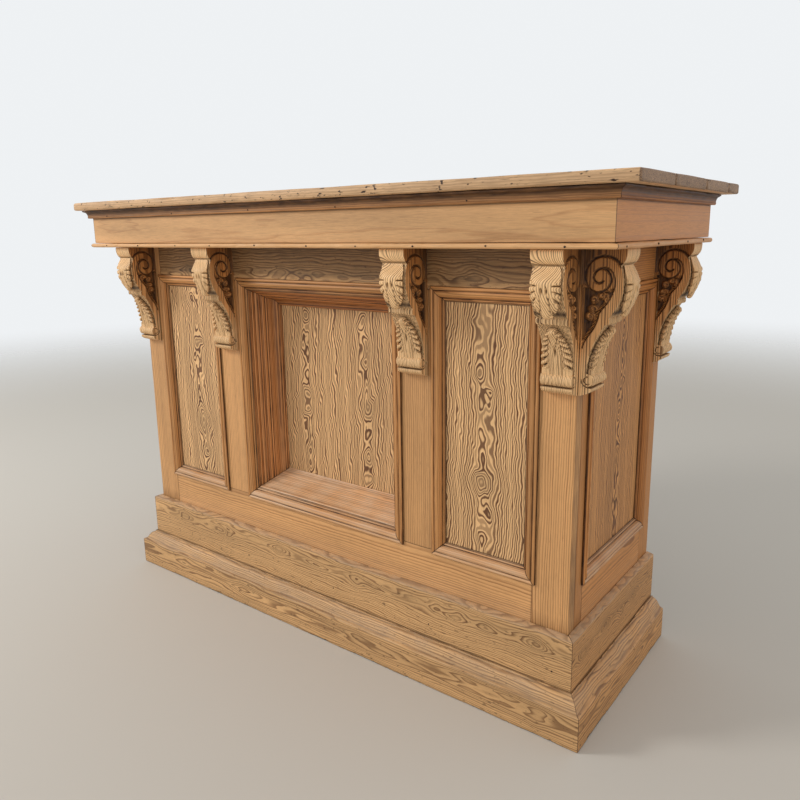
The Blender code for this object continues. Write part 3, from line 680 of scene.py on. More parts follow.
class Sketch:
    """A short way to add shader nodes and join them."""

    def __init__(self, owner: bpy.types.Material | bpy.types.World) -> None:
        """Start from an empty node tree.

        Args:
            owner: What the shader is for.
        """
        owner.use_nodes = True
        self.tree = owner.node_tree
        self.tree.nodes.clear()

    def add(self, kind: str, **settings: object) -> bpy.types.Node:
        """Add a node.

        Args:
            kind: Its type.
            settings: Its properties.

        Returns:
            The node.
        """
        node = self.tree.nodes.new(kind)
        for key, value in settings.items():
            setattr(node, key, value)
        return node

    def join(self, target: bpy.types.NodeSocket, source: object) -> None:
        """Give a socket its value.

        Args:
            target: The input socket.
            source: An output socket to link, or a plain number or colour.
        """
        if isinstance(source, bpy.types.NodeSocket):
            self.tree.links.new(source, target)
        else:
            target.default_value = source

    def math(self, operation: str, *values: object, clamp: bool = False) -> bpy.types.NodeSocket:
        """Add a Math node.

        Args:
            operation: What it works out.
            values: Its inputs.
            clamp: Whether the result is kept within 0 and 1.

        Returns:
            Its output.
        """
        node = self.add("ShaderNodeMath", operation=operation, use_clamp=clamp)
        for socket, value in zip(node.inputs, values):
            self.join(socket, value)
        return node.outputs[0]

    def step(self, value: object, low: float, high: float) -> bpy.types.NodeSocket:
        """Ease from 0 to 1.

        Args:
            value: The input.
            low: Where the step starts.
            high: Where it ends.

        Returns:
            The step's output.
        """
        node = self.add("ShaderNodeMapRange", interpolation_type="SMOOTHSTEP")
        self.join(node.inputs["Value"], value)
        node.inputs["From Min"].default_value = low
        node.inputs["From Max"].default_value = high
        return node.outputs["Result"]

    def blend(self, factor: object, a: object, b: object, kind: str = "MIX") -> bpy.types.NodeSocket:
        """Mix two colours.

        Args:
            factor: Share of the second.
            a: The first.
            b: The second.
            kind: The way they are mixed.

        Returns:
            The mixed colour.
        """
        node = self.add("ShaderNodeMix", data_type="RGBA", blend_type=kind)
        self.join(node.inputs["Factor"], factor)
        self.join(node.inputs["A"], a)
        self.join(node.inputs["B"], b)
        return node.outputs["Result"]

    def vector(self, x: object, y: object, z: object) -> bpy.types.NodeSocket:
        """Combine three numbers.

        Args:
            x: The first.
            y: The second.
            z: The third.

        Returns:
            The vector.
        """
        node = self.add("ShaderNodeCombineXYZ")
        for socket, value in zip(node.inputs, (x, y, z)):
            self.join(socket, value)
        return node.outputs[0]

    def noise(
        self, vector: object, scale: float = 1.0, detail: float = 2.0, roughness: float = 0.5
    ) -> bpy.types.NodeSocket:
        """Add a Noise texture.

        Args:
            vector: Where it is looked up.
            scale: How fine it is.
            detail: How many finer layers it has.
            roughness: Their strength.

        Returns:
            Its value.
        """
        node = self.add("ShaderNodeTexNoise")
        self.join(node.inputs["Vector"], vector)
        for name, value in (("Scale", scale), ("Detail", detail), ("Roughness", roughness)):
            node.inputs[name].default_value = value
        return node.outputs["Fac"]

    def attribute(self, name: str, output: str = "Fac") -> bpy.types.NodeSocket:
        """Return a mesh attribute."""
        return self.add("ShaderNodeAttribute", attribute_name=name).outputs[output]

    def grained(self, along: float, across: float) -> bpy.types.NodeSocket:
        """Scale the grain coordinates.

        Args:
            along: Factor along the grain.
            across: Factor across it.

        Returns:
            The scaled vector.
        """
        node = self.add("ShaderNodeVectorMath", operation="MULTIPLY")
        self.join(node.inputs[0], self.attribute("grain", "Vector"))
        node.inputs[1].default_value = (along, across, across)
        return node.outputs[0]

    def sway(self, base: object, value: object, amount: float) -> bpy.types.NodeSocket:
        """Return base + (value - 0.5) amount."""
        return self.math("MULTIPLY_ADD", self.math("SUBTRACT", value, 0.5), amount, base)

    def principled(self, colour: object, roughness: object) -> bpy.types.Node:
        """Add a Principled shader.

        Args:
            colour: Its base colour.
            roughness: Its roughness.

        Returns:
            The shader.
        """
        shader = self.add("ShaderNodeBsdfPrincipled")
        self.join(shader.inputs["Base Color"], colour)
        self.join(shader.inputs["Roughness"], roughness)
        return shader

    def end(self, shader: bpy.types.Node, kind: str = "ShaderNodeOutputMaterial") -> None:
        """Join a shader to the output."""
        self.join(self.add(kind).inputs["Surface"], shader.outputs[0])


def linear(red: float, green: float, blue: float) -> tuple[float, float, float, float]:
    """Turn a display colour into the linear colour that a shader takes.

    Args:
        red: Red, from 0 to 255.
        green: Green, from 0 to 255.
        blue: Blue, from 0 to 255.

    Returns:
        The linear colour with an alpha of 1.
    """
    values = np.array((red, green, blue)) / 255
    values = np.where(values <= 0.04045, values / 12.92, ((values + 0.055) / 1.055) ** 2.4)
    return (float(values[0]), float(values[1]), float(values[2]), 1.0)


@dataclass(frozen=True)
class PineFinish:
    """A finish of stripped pine: its colours, ring width and how strongly the figure shows.

    The warps bend the rings slowly and quickly, the relief is the bump's depth, and rise is the
    part of a ring over which its late wood darkens.
    """

    name: str
    early: tuple[float, float, float]
    late: tuple[float, float, float]
    ring: float
    contrast: float
    warps: tuple[float, float]
    relief: float = 0.0003
    roughness: float = 0.6
    blotch: float = 0.16
    rise: tuple[float, float] = (0.30, 0.86)
    pores: float = 0.25
    pits: float = 0.0
    # Colour of dirt, and of painted shade in hollows, under overhangs and beside raised parts.
    dirt: tuple[float, float, float] = (52, 30, 16)
    grey: tuple[float, float, float] = (190, 160, 130)
    stain: tuple[float, float, float] = (214, 168, 100)
    bump: float = 0.55
    specular: float = 0.35

    def late_wood(self, s: Sketch) -> bpy.types.NodeSocket:
        """Work out the late wood.

        Ring number = distance from the pith / ring width + two random warps + the piece's own
        figure. Its fraction darkens slowly through a ring and falls back sharply, which gives the
        late wood's lines, some fainter than others.

        Args:
            s: The sketch of the shader.

        Returns:
            The share of late wood.
        """
        grain = s.add("ShaderNodeSeparateXYZ")
        s.join(grain.inputs[0], s.attribute("grain", "Vector"))
        squares = [s.math("MULTIPLY", offset, offset) for offset in grain.outputs[1:]]
        rings = s.math("DIVIDE", s.math("SQRT", s.math("ADD", *squares)), self.ring)
        rings = s.math("MULTIPLY", rings, s.math("SUBTRACT", 1.0, s.attribute("own")))
        rings = s.sway(rings, s.noise(s.grained(2.2, 7.0)), self.warps[0] * 2)
        rings = s.sway(rings, s.noise(s.grained(14.0, 55.0)), self.warps[1] * 2)
        rings = s.math("ADD", rings, s.attribute("figure"))
        uneven = s.noise(s.vector(s.math("MULTIPLY", rings, 0.37), 0.0, 0.0))
        rings = s.math("MULTIPLY_ADD", uneven, 1.2, rings)
        part = s.math("FRACT", rings)
        late = s.math("MULTIPLY", s.step(part, *self.rise), s.math("SUBTRACT", 1.0, s.step(part, 0.90, 1.0)))
        fade = s.add("ShaderNodeTexWhiteNoise", noise_dimensions="1D")
        s.join(fade.inputs["W"], s.math("FLOOR", rings))
        return s.math("MULTIPLY", late, s.math("MULTIPLY_ADD", fade.outputs["Value"], 0.5, 0.5))

    def material(self) -> bpy.types.Material:
        """Build the shader.

        Fine fibres are noise stretched along the grain. Over the wood's colour lie the old stain,
        open pores, dents, weathering, and dirt with painted shade, in that order.

        Returns:
            The material.
        """
        material = bpy.data.materials.new(f"pine_{self.name}")
        s = Sketch(material)
        dark, dirt = linear(*self.late), linear(*self.dirt)
        late = self.late_wood(s)
        fibre = s.noise(s.grained(26.0, 800.0), 1.0, 3.0, 0.6)
        patch = s.noise(s.grained(3.0, 14.0), 1.0, 3.0)
        shade = s.sway(s.sway(1.0, fibre, 0.8), patch, self.blotch * 3)
        # The tone mark holds random tone, painted shade and, on the left reveal, painted light.
        shade = s.math("MULTIPLY_ADD", s.attribute("tone"), 0.2, shade)
        shade = s.vector(shade, shade, shade)
        colour = s.blend(s.math("MULTIPLY", late, self.contrast, clamp=True), linear(*self.early), dark)
        colour = s.blend(1.0, colour, shade, "MULTIPLY")
        stained = s.blend(0.85, colour, linear(*self.stain), "MULTIPLY")
        colour = s.blend(s.attribute("stain"), colour, stained)
        colour = s.blend(s.math("MULTIPLY", s.step(fibre, 0.60, 0.70), self.pores), colour, dirt)
        dents = s.step(s.noise(s.grained(70.0, 190.0)), 0.64, 0.70)
        colour = s.blend(s.math("MULTIPLY", dents, self.pits), colour, dirt)
        faded = s.blend(1.0, linear(*self.grey), shade, "MULTIPLY")
        faded = s.blend(s.math("MULTIPLY", late, 0.28), faded, dark)
        kept = s.math("MULTIPLY_ADD", s.step(fibre, 0.38, 0.60), -0.6, 1.0)
        colour = s.blend(s.math("MULTIPLY", s.attribute("weather"), kept), colour, faded)
        grime_and_shade = s.math("MULTIPLY_ADD", s.noise(s.grained(30.0, 120.0), 1.0, 3.0), 0.9, 0.45)
        # The dirt mark darkens dirt and painted shade alike.
        colour = s.blend(s.math("MULTIPLY", s.attribute("dirt"), grime_and_shade, clamp=True), colour, dirt)
        bump = s.add("ShaderNodeBump")
        bump.inputs["Strength"].default_value = self.bump
        bump.inputs["Distance"].default_value = self.relief
        height = s.math("MULTIPLY_ADD", fibre, 0.45, s.math("MULTIPLY", late, self.contrast + 0.3))
        s.join(bump.inputs["Height"], height)
        shader = s.principled(colour, s.math("MULTIPLY_ADD", late, -0.10, self.roughness))
        s.join(shader.inputs["Normal"], bump.outputs[0])
        shader.inputs["Specular IOR Level"].default_value = self.specular
        s.end(shader)
        return material


FINISHES = (
    PineFinish(
        "worktop", (230, 188, 142), (150, 108, 74), 0.0030, 0.5, (1.2, 0.5), 0.0006,
        blotch=0.22, pores=0.8, pits=1.0, grey=(104, 80, 68),
    ),
    PineFinish(
        "fascia", (224, 174, 120), (166, 108, 60), 0.0030, 0.5, (0.25, 0.12),
        roughness=0.5, blotch=0.10, rise=(0.66, 0.90), pores=0.35,
    ),
    PineFinish(
        "frame", (222, 170, 114), (136, 86, 46), 0.0036, 0.75, (1.6, 0.4),
        roughness=0.55, blotch=0.20, pores=0.5,
    ),
    PineFinish(
        "panel", (247, 199, 142), (98, 56, 30), 0.0050, 1.0, (0.4, 0.12), 0.0007,
        blotch=0.14, rise=(0.24, 0.58), pores=0.35,
    ),
    PineFinish(
        "moulding", (216, 162, 104), (122, 74, 38), 0.0040, 0.8, (1.8, 0.4),
        roughness=0.5, grey=(214, 178, 142),
    ),
    PineFinish(
        "reveal", (222, 164, 108), (112, 66, 34), 0.0044, 0.85, (1.8, 0.4),
        roughness=0.5, blotch=0.18, pores=0.4, grey=(216, 182, 148),
    ),
    PineFinish(
        "plinth", (222, 176, 122), (112, 72, 40), 0.0046, 0.85, (1.2, 0.35), 0.0006,
        pores=0.4, pits=0.5,
    ),
    PineFinish(
        "carving", (242, 198, 144), (76, 44, 24), 0.0027, 1.0, (0.8, 0.15), 0.0006,
        blotch=0.10, rise=(0.36, 0.84), pores=0.35,
    ),
    PineFinish("inside", (200, 160, 110), (150, 110, 68), 0.0050, 0.6, (2.2, 0.4), 0.0004, 0.7, 0.14),
)


@dataclass(frozen=True)
class IronFinish:
    """Rusty iron of the nail heads."""

    name: str = "nails"
    dark: tuple[float, float, float] = (46, 32, 24)
    rusty: tuple[float, float, float] = (70, 44, 28)
    roughness: float = 0.65
    metallic: float = 0.3

    def material(self) -> bpy.types.Material:
        """Build the shader, mottled by noise.

        Returns:
            The material.
        """
        material = bpy.data.materials.new(f"iron_{self.name}")
        s = Sketch(material)
        rust = s.noise(s.add("ShaderNodeTexCoord").outputs["Object"], 900.0)
        shader = s.principled(s.blend(rust, linear(*self.dark), linear(*self.rusty)), self.roughness)
        shader.inputs["Metallic"].default_value = self.metallic
        s.end(shader)
        return material


class Workshop:
    """The finishes by name, made once for all the pieces."""

    def __init__(self) -> None:
        """Make every finish."""
        self.finishes = {finish.name: finish.material() for finish in (*FINISHES, IronFinish())}

    def finish(self, name: str) -> bpy.types.Material:
        """Return a finish by its name."""
        return self.finishes[name]


def corners(node: str) -> tuple[Array, Array]:
    """Return the lowest and highest corner of a solid."""
    low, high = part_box(node)
    return np.array(low), np.array(high)


@dataclass
class Carcase:
    """Stiles, rails and muntins of the front and the two ends.

    Pairs of heights say where painted shade, wear or dirt begins and where it is at its strongest.
    """

    shop: Workshop
    canopy_shadow: tuple[float, float] = (0.870, 0.935)
    rail_shadow: tuple[float, float] = (0.856, 0.870)
    rail_wear: tuple[float, float] = (0.25, 0.20)
    corbel_shadow: tuple[float, float] = (0.69, 0.74)
    plinth_dirt: tuple[float, float] = (0.225, 0.205)

    def build(self) -> None:
        """Make each board of the frames in the place of its solid."""
        upright = ("corner_stile", "muntin", "side_front_stile", "side_back_stile")
        seed = 11
        for stem in upright:
            for end, direction in ENDS:
                seed += 1
                self.board(f"{stem}_{end}", Axis.Z, direction, stem.startswith("side"), seed)
        for end, direction in ENDS:
            for stem in ("side_top_rail", "side_bottom_rail"):
                seed += 1
                self.board(f"{stem}_{end}", Axis.Y, direction, True, seed)
        for node in ("front_top_rail", "front_bottom_rail"):
            seed += 1
            self.board(node, Axis.X, RIGHT, False, seed)

    def board(self, node: str, axis: Axis, direction: Array, on_end: bool, seed: int) -> None:
        """Make one board, with its pith well behind its face so that its lines run straight.

        Args:
            node: The board's solid.
            axis: The axis of its grain.
            direction: The way its end of the counter faces.
            on_end: Whether the board is a part of that end.
            seed: Picks the wood.
        """
        low, high = corners(node)
        along = (RIGHT, BACKWARD, UP)[axis.value]
        across = np.cross(direction if on_end else FORWARD, along)
        pick = np.random.RandomState(seed)
        pith = pick.uniform(0.05, 0.11), pick.uniform(-0.09, -0.05)
        log = Log(along, across, seed, *pith, pick.uniform(-0.5, 0.5))
        plank = Plank(low, high, log, radius=0.0008, step=0.02, stain=0.6 if on_end else 0.1)
        topmost = node == "front_top_rail"
        if topmost:
            plank.figure = self.top_figure()
            plank.step = plank.along_step = 0.004
        elif node == "front_bottom_rail":
            log.tone = 0.3
        draft = plank.draft()
        self.shade(node, draft)
        draft.to_object(f"{node}_board", self.shop.finish("plinth" if topmost else "frame"), "frame", [node])

    def shade(self, node: str, draft: Draft) -> None:
        """Paint shade on a board under the canopy and between corbels, and wear and soil it close to the
        plinth.

        Args:
            node: The board's solid.
            draft: The board, whose marks are changed.
        """
        marks = draft.marks
        height = draft.vertices[:, 2]
        # Painted shadow of the overhanging canopy: the tone falls towards the top, and on the front top rail
        # it falls sharply above the shadow's edge.
        shadow = smooth_step(*self.canopy_shadow, height)
        if node == "front_top_rail":
            marks["tone"] = marks["tone"] - 2.7 * smooth_step(*self.rail_shadow, height) - 1.0 * shadow
        else:
            marks["tone"] = marks["tone"] - 0.6 * shadow
        if "rail" in node:
            worn = 0.35 * smooth_step(*self.rail_wear, height)
            marks["weather"] = np.maximum(marks["weather"], worn)
        if node.startswith(("corner_stile", "side_front_stile")):
            outer = np.abs(draft.vertices[:, 0]) - corners("corbel_front_right_corner")[1][0]
            if node.startswith("side"):
                outer = corners("corbel_right_front")[0][1] - draft.vertices[:, 1]
            # Painted shadow on the strip of stile beside the corbels at the corner.
            between = 0.95 * smooth_step(*self.corbel_shadow, height) * (outer > -0.012)
            low = 0.35 * smooth_step(*self.plinth_dirt, height)
            marks["dirt"] = np.maximum(marks["dirt"], np.maximum(between, low))

    def top_figure(self) -> Figure:
        """Figure of the front top rail: knots in a row along its heart.

        Returns:
            The figure.
        """
        knots = (
            (0.872, -0.210, 1.2, 0.016),
            (0.876, -0.090, 1.6, 0.012),
            (0.866, -0.030, 2.0, 0.014),
            (0.871, 0.025, 1.4, 0.012),
            (0.867, 0.090, 2.2, 0.015),
            (0.880, 0.330, 1.8, 0.018),
            (0.885, 0.430, 2.6, 0.016),
            (0.872, -0.430, 2.4, 0.018),
        )
        return Figure(RIGHT, UP, ((0.862, 0.016),), knots, 0.0062, 601, 4.0, 1.0)


@dataclass
class Worktop:
    """The four boards of the top."""

    shop: Workshop
    names: tuple[str, ...] = ("front", "second", "third", "back")

    def build(self) -> None:
        """Make the boards with worn ends and a slight cup."""
        for index, name in enumerate(self.names):
            node = f"top_board_{name}"
            low, high = corners(node)
            pick = np.random.RandomState(70 + index)
            pith = pick.uniform(-0.03, 0.03)
            log = Log(RIGHT, BACKWARD, 70 + index, pith, -0.09, pick.uniform(-0.1, 0.2))
            plank = Plank(low, high, log, radius=0.0035, step=0.008, wear=0.0016, cup=0.0004)
            plank.unevenness = 0.0004
            plank.end_weather = 1.0
            plank.edge_dirt = 0.25
            plank.draft().to_object(f"{node}_plank", self.shop.finish("worktop"), "worktop", [node])


@dataclass
class Inside:
    """The back rail, the bottom board and the shelf with its bearers."""

    shop: Workshop

    def build(self) -> None:
        """Make each inner board in the place of its solid."""
        places = (
            ("back_top_rail", RIGHT, UP),
            ("bottom_board", RIGHT, BACKWARD),
            ("shelf", RIGHT, BACKWARD),
            ("shelf_bearer_left", BACKWARD, UP),
            ("shelf_bearer_right", BACKWARD, UP),
        )
        for index, (node, along, across) in enumerate(places):
            low, high = corners(node)
            log = Log(along, across, 90 + index, 0.02, -0.06)
            plank = Plank(low, high, log, radius=0.0012, step=0.03, wear=0.0006)
            plank.draft().to_object(f"{node}_board", self.shop.finish("inside"), "inside", [node])


@dataclass
class Panels:
    """The five sunk panels."""

    shop: Workshop
    grid: float = 0.0026

    def build(self) -> None:
        """Make each panel as a slab-cut board whose figure shows on its face."""
        for index, (node, face, figure) in enumerate(self.places()):
            low, high = corners(node)
            log = Log(UP, np.cross(face, UP), 30 + index, 0.0, -0.03)
            step = self.grid * 1
            plank = Plank(low, high, log, radius=0.0008, step=step, along_step=step, edge_dirt=0.0)
            plank.stain = 0.0 if face is FORWARD else 0.65
            plank.figure = figure
            plank.draft().to_object(f"{node}_board", self.shop.finish("panel"), "panel", [node])

    def places(self) -> tuple[tuple[str, Array, Figure], ...]:
        """Where the hearts and knots of the panels lie, by x or y and by z.

        Returns:
            Each panel's node, the way it faces and its figure.
        """
        left = (
            (-0.462, 0.800, 2.4, 0.016),
            (-0.425, 0.684, 3.0, 0.015),
            (-0.454, 0.648, 2.0, 0.010),
            (-0.450, 0.547, 1.4, 0.014),
            (-0.432, 0.463, 5.0, 0.026),
            (-0.424, 0.377, 2.6, 0.014),
        )
        centre = (
            (-0.099, 0.686, 1.8, 0.010),
            (-0.097, 0.653, 1.2, 0.008),
            (-0.106, 0.562, 3.4, 0.018),
            (-0.100, 0.522, 2.4, 0.016),
            (-0.105, 0.421, 2.4, 0.014),
            (-0.103, 0.386, 1.4, 0.012),
            (0.071, 0.747, 1.6, 0.010),
            (0.088, 0.689, 2.0, 0.011),
            (0.084, 0.664, 1.2, 0.009),
            (0.094, 0.567, 4.4, 0.022),
            (0.094, 0.430, 2.6, 0.015),
            (0.091, 0.382, 2.0, 0.018),
        )
        right = (
            (0.422, 0.789, 1.2, 0.008),
            (0.492, 0.747, 1.0, 0.008),
            (0.431, 0.690, 2.6, 0.015),
            (0.460, 0.655, 2.4, 0.011),
            (0.457, 0.561, 1.6, 0.014),
            (0.438, 0.472, 5.0, 0.024),
            (0.442, 0.409, 1.6, 0.016),
            (0.437, 0.354, 1.8, 0.014),
        )
        side = (
            (0.066, 0.653, 1.8, 0.010),
            (0.045, 0.620, 1.4, 0.012),
            (0.043, 0.592, 1.4, 0.010),
            (0.030, 0.566, 1.4, 0.009),
            (0.061, 0.521, 2.0, 0.014),
            (0.050, 0.473, 1.6, 0.016),
            (0.068, 0.360, 1.6, 0.016),
        )
        hearts = ((-0.102, 0.014), (0.086, 0.014))
        return (
            ("panel_front_left", FORWARD, Figure(UP, RIGHT, ((-0.440, 0.018),), left, 0.0056, 500)),
            ("panel_front_centre", FORWARD, Figure(UP, RIGHT, hearts, centre, 0.0052, 510)),
            ("panel_front_right", FORWARD, Figure(UP, RIGHT, ((0.448, 0.020),), right, 0.0050, 520)),
            ("panel_side_left", LEFT, Figure(UP, BACKWARD, ((0.040, 0.020),), side[::2], 0.0052, 530)),
            ("panel_side_right", RIGHT, Figure(UP, BACKWARD, ((0.052, 0.016),), side, 0.0052, 540)),
        )


@dataclass
class Mouldings:
    """Four mitred lengths of bolection moulding round each of the five openings."""

    shop: Workshop
    width: float = 0.031
    sink: float = 0.009
    lap: float = 0.0075
    rise: float = 0.007
    gap: float = 0.0003

    def outline(self) -> Array:
        """Profile from the outer bead over a quirk, a flat and an ovolo to the toe on the panel.

        Returns:
            Points of (across, face).
        """
        toe = 0.0023 - self.sink
        points = [(0.0, self.gap), (0.0, 0.0028)]
        points += list(arc((0.0042, 0.0028), 0.0042, 180, 40, 7)[1:])
        points += [(0.0080, 0.0042), (0.0090, 0.0042), (0.0096, 0.0060)]
        points += list(arc((0.0125, 0.0046), 0.0024, 140, 60, 3))
        points += list(bezier(((0.0145, 0.0062), (0.0195, 0.0052), (0.0222, 0.0012), (0.0228, -0.0040)), 9))
        points += [(0.0228, -0.0052), (0.0242, -0.0052)]
        points += list(arc((0.0262, toe + 0.0012), 0.0017, 150, 30, 4))
        points += [(0.0284, toe - 0.0006), (self.width, toe - 0.0006), (self.width, self.gap - self.sink)]
        points += [(self.lap + self.gap, self.gap - self.sink), (self.lap + self.gap, self.gap)]
        return rounded_outline(points, 0.0003, 0.0035)

    def build(self) -> None:
        """Carry the profile round each moulding's solid."""
        places = (
            ("front_left", FORWARD),
            ("front_centre", FORWARD),
            ("front_right", FORWARD),
            ("side_left", LEFT),
            ("side_right", RIGHT),
        )
        for index, (name, face) in enumerate(places):
            self.frame(f"moulding_{name}", face, 200 + 10 * index)

    def frame(self, node: str, face: Array, seed: int) -> None:
        """Make the four lengths of one moulding, with painted shadow along its outer edge and its edge on the
        panel.

        Args:
            node: The moulding's solid.
            face: The way it faces.
            seed: Picks the wood.
        """
        low, high = corners(node)
        level = (low + high) / 2 + face * (np.abs((high - low) @ face) / 2 - self.rise)
        right = np.cross(UP, face)
        wide = abs((high - low) @ right)
        tall = high[2] - low[2]
        sides = ((-right, wide, tall), (right, wide, tall), (UP, tall, wide), (DOWN, tall, wide))
        outline = self.outline()
        # Painted shadow cast by the proud moulding, along its outer edge and along its edge on the panel.
        edge_shadow = 0.95 * ((outline[:, 0] < 0.0006) | (outline[:, 0] > self.width - 0.0012))
        drafts = []
        for step, (outward, span, length) in enumerate(sides):
            pick = np.random.RandomState(seed + step)
            centre = level + outward * span / 2
            pith = pick.uniform(0.03, 0.08), pick.uniform(-0.1, -0.05)
            tone = pick.uniform(-0.5, 0.5)
            run = Run(outline, centre, -outward, face, length, -1, -1, seed + step, pith, tone)
            run.stain = 0.3 if face is FORWARD else 0.7
            if outward is DOWN:
                run.age = AgeAndShade(worn_above=EVERYWHERE, worn=0.85)
            draft = run.draft()
            repeated = np.tile(edge_shadow, len(draft.vertices) // len(outline))
            draft.marks["dirt"] = np.maximum(draft.marks["dirt"], repeated)
            drafts.append(draft)
        joined(drafts).to_object(f"{node}_lengths", self.shop.finish("moulding"), "moulding", [node])


@dataclass
class Reveal:
    """The four lengths that step back from the centre opening to its panel."""

    shop: Workshop
    width: float = 0.0645
    depth: float = 0.080
    sink: float = 0.009
    start: float = 0.0235
    back_land: float = 0.024
    shoulder: float = 0.026
    gap: float = 0.0003

    def at(self, across: float, down: float) -> tuple[float, float]:
        """Point of the profile at shares of its run and its drop."""
        run, drop = self.width - self.start, self.depth - self.sink
        return (self.start + run * across, -self.sink - drop * down)

    def back(self) -> list[Point]:
        """Points of the profile's hidden back."""
        low = self.gap - self.depth
        return [(self.width, low), (self.width - self.back_land - self.gap, low), (self.gap, -self.shoulder)]

    def outline(self) -> Array:
        """Profile that goes down in two ogees and a deep cove, with beads and fillets between.

        Returns:
            Points of (across, face).
        """
        at = self.at
        drop = self.depth - self.sink
        points = [(self.gap, -self.sink), at(-0.01, 0), at(-0.01, 0.055), at(0.03, 0.06), at(0.03, 0.085)]
        points += list(arc(at(0.045, 0.115), drop * 0.032, 100, -40, 5))
        points += [at(0.085, 0.16), at(0.085, 0.20)]
        points += list(bezier((at(0.10, 0.205), at(0.13, 0.21), at(0.16, 0.215), at(0.20, 0.25)), 4))
        points += [at(0.205, 0.28), at(0.23, 0.285)]
        points += list(arc(at(0.245, 0.315), drop * 0.035, 95, -50, 5))
        points += [at(0.27, 0.365), at(0.30, 0.37)]
        points += list(bezier((at(0.31, 0.39), at(0.37, 0.395), at(0.40, 0.43), at(0.41, 0.485)), 5))
        points += [at(0.41, 0.51), at(0.445, 0.515)]
        points += list(arc(at(0.46, 0.54), drop * 0.030, 95, -50, 4))
        points += [at(0.49, 0.585), at(0.515, 0.59), at(0.52, 0.62)]
        points += list(bezier((at(0.54, 0.63), at(0.55, 0.78), at(0.66, 0.86), at(0.82, 0.87)), 9))
        points += [at(0.83, 0.895), at(0.88, 0.90)]
        points += list(arc(at(0.92, 0.915), drop * 0.022, 100, -10, 4))
        points += [at(0.96, 0.955), at(1.0, 0.96)]
        return rounded_outline(points + self.back(), 0.0003, 0.006)

    def sill_outline(self) -> Array:
        """Profile of the worn bottom length: a bead, then one slope with three shallow steps.

        Returns:
            Points of (across, face).
        """
        shares = ((0.0, 0.0), (0.05, 0.02), (0.07, 0.06), (0.06, 0.09), (0.32, 0.34), (0.33, 0.37))
        shares += ((0.56, 0.59), (0.57, 0.62), (0.78, 0.81), (0.79, 0.84), (0.95, 0.955), (1.0, 0.97))
        points = [(self.gap, -self.sink)] + [self.at(*share) for share in shares]
        return rounded_outline(points + self.back(), 0.0006, 0.005)

    def build(self) -> None:
        """Make the four lengths, of which the bottom one is bare and worn."""
        front = corners("corner_stile_left")[0][1]
        foot = corners("reveal_bottom")[0][2] - self.gap
        head = corners("reveal_top")[1][2] + self.gap
        half = corners("reveal_right")[1][0] + self.gap
        middle = (foot + head) / 2
        worn = AgeAndShade(cavity=0.6, worn_above=EVERYWHERE, worn=1.0)
        sill, plain = self.sill_outline(), self.outline()
        places = (
            ("bottom", sill, (0, front, foot), UP, 2 * half, 0.4, 0.0, worn),
            ("top", plain, (0, front, head), DOWN, 2 * half, 0.0, 0.8, AgeAndShade()),
            # Painted light: the left length's tone of 0.4 lightens a face that the key lamp leaves in shade.
            ("left", plain, (-half, front, middle), RIGHT, head - foot, 0.4, 0.45, AgeAndShade()),
            ("right", plain, (half, front, middle), LEFT, head - foot, 0.0, 0.4, AgeAndShade()),
        )
        for index, (name, outline, centre, across, length, tone, stain, age) in enumerate(places):
            pith = (0.05, -0.07)
            centre = np.array(centre, float)
            run = Run(outline, centre, across, FORWARD, length, -1, -1, 260 + index, pith, tone, stain)
            run.age = age
            node = f"reveal_{name}"
            run.draft().to_object(f"{node}_length", self.shop.finish("reveal"), "reveal", [node])


@dataclass
class Skirt:
    """Something carried along the front and both ends, mitred at the front corners."""

    stem: str
    outline: Array
    finish: str
    slot: str
    pith: tuple[float, float]
    age: AgeAndShade
    tone: float = 0.0
    stain: float = 0.0
    end_stain: float = 0.4
    spread: float = 0.3
    along_step: float = 0.02
    figures: dict[str, Figure] = field(default_factory=dict)

    def build(self, shop: Workshop, front: float, side: float, back: float, height: float, seed: int) -> None:
        """Make the three lengths.

        Args:
            shop: The finishes.
            front: Y of the outline's zero on the front.
            side: X of the outline's zero at the right end.
            back: Y at which the end lengths stop.
            height: Z of the outline's zero.
            seed: Picks the wood.
        """
        middle = (back + front) / 2
        places = (
            ("front", (0.0, front, height), FORWARD, 2 * side, 1.0, 1.0),
            ("left", (-side, middle, height), LEFT, back - front, 1.0, 0.0),
            ("right", (side, middle, height), RIGHT, back - front, 0.0, 1.0),
        )
        for step, (name, centre, across, length, *mitres) in enumerate(places):
            pick = np.random.RandomState(seed + step)
            tone = self.tone + pick.uniform(-self.spread, self.spread)
            stain = self.stain if name == "front" else self.stain + self.end_stain
            centre = np.array(centre)
            run = Run(self.outline, centre, across, UP, length, *mitres, seed + step, self.pith, tone, stain)
            run.along_step = self.along_step
            run.age = self.age
            run.figure = self.figures.get(name)
            node = f"{self.stem}_{name}"
            run.draft().to_object(f"{node}_length", shop.finish(self.finish), self.slot, [node])


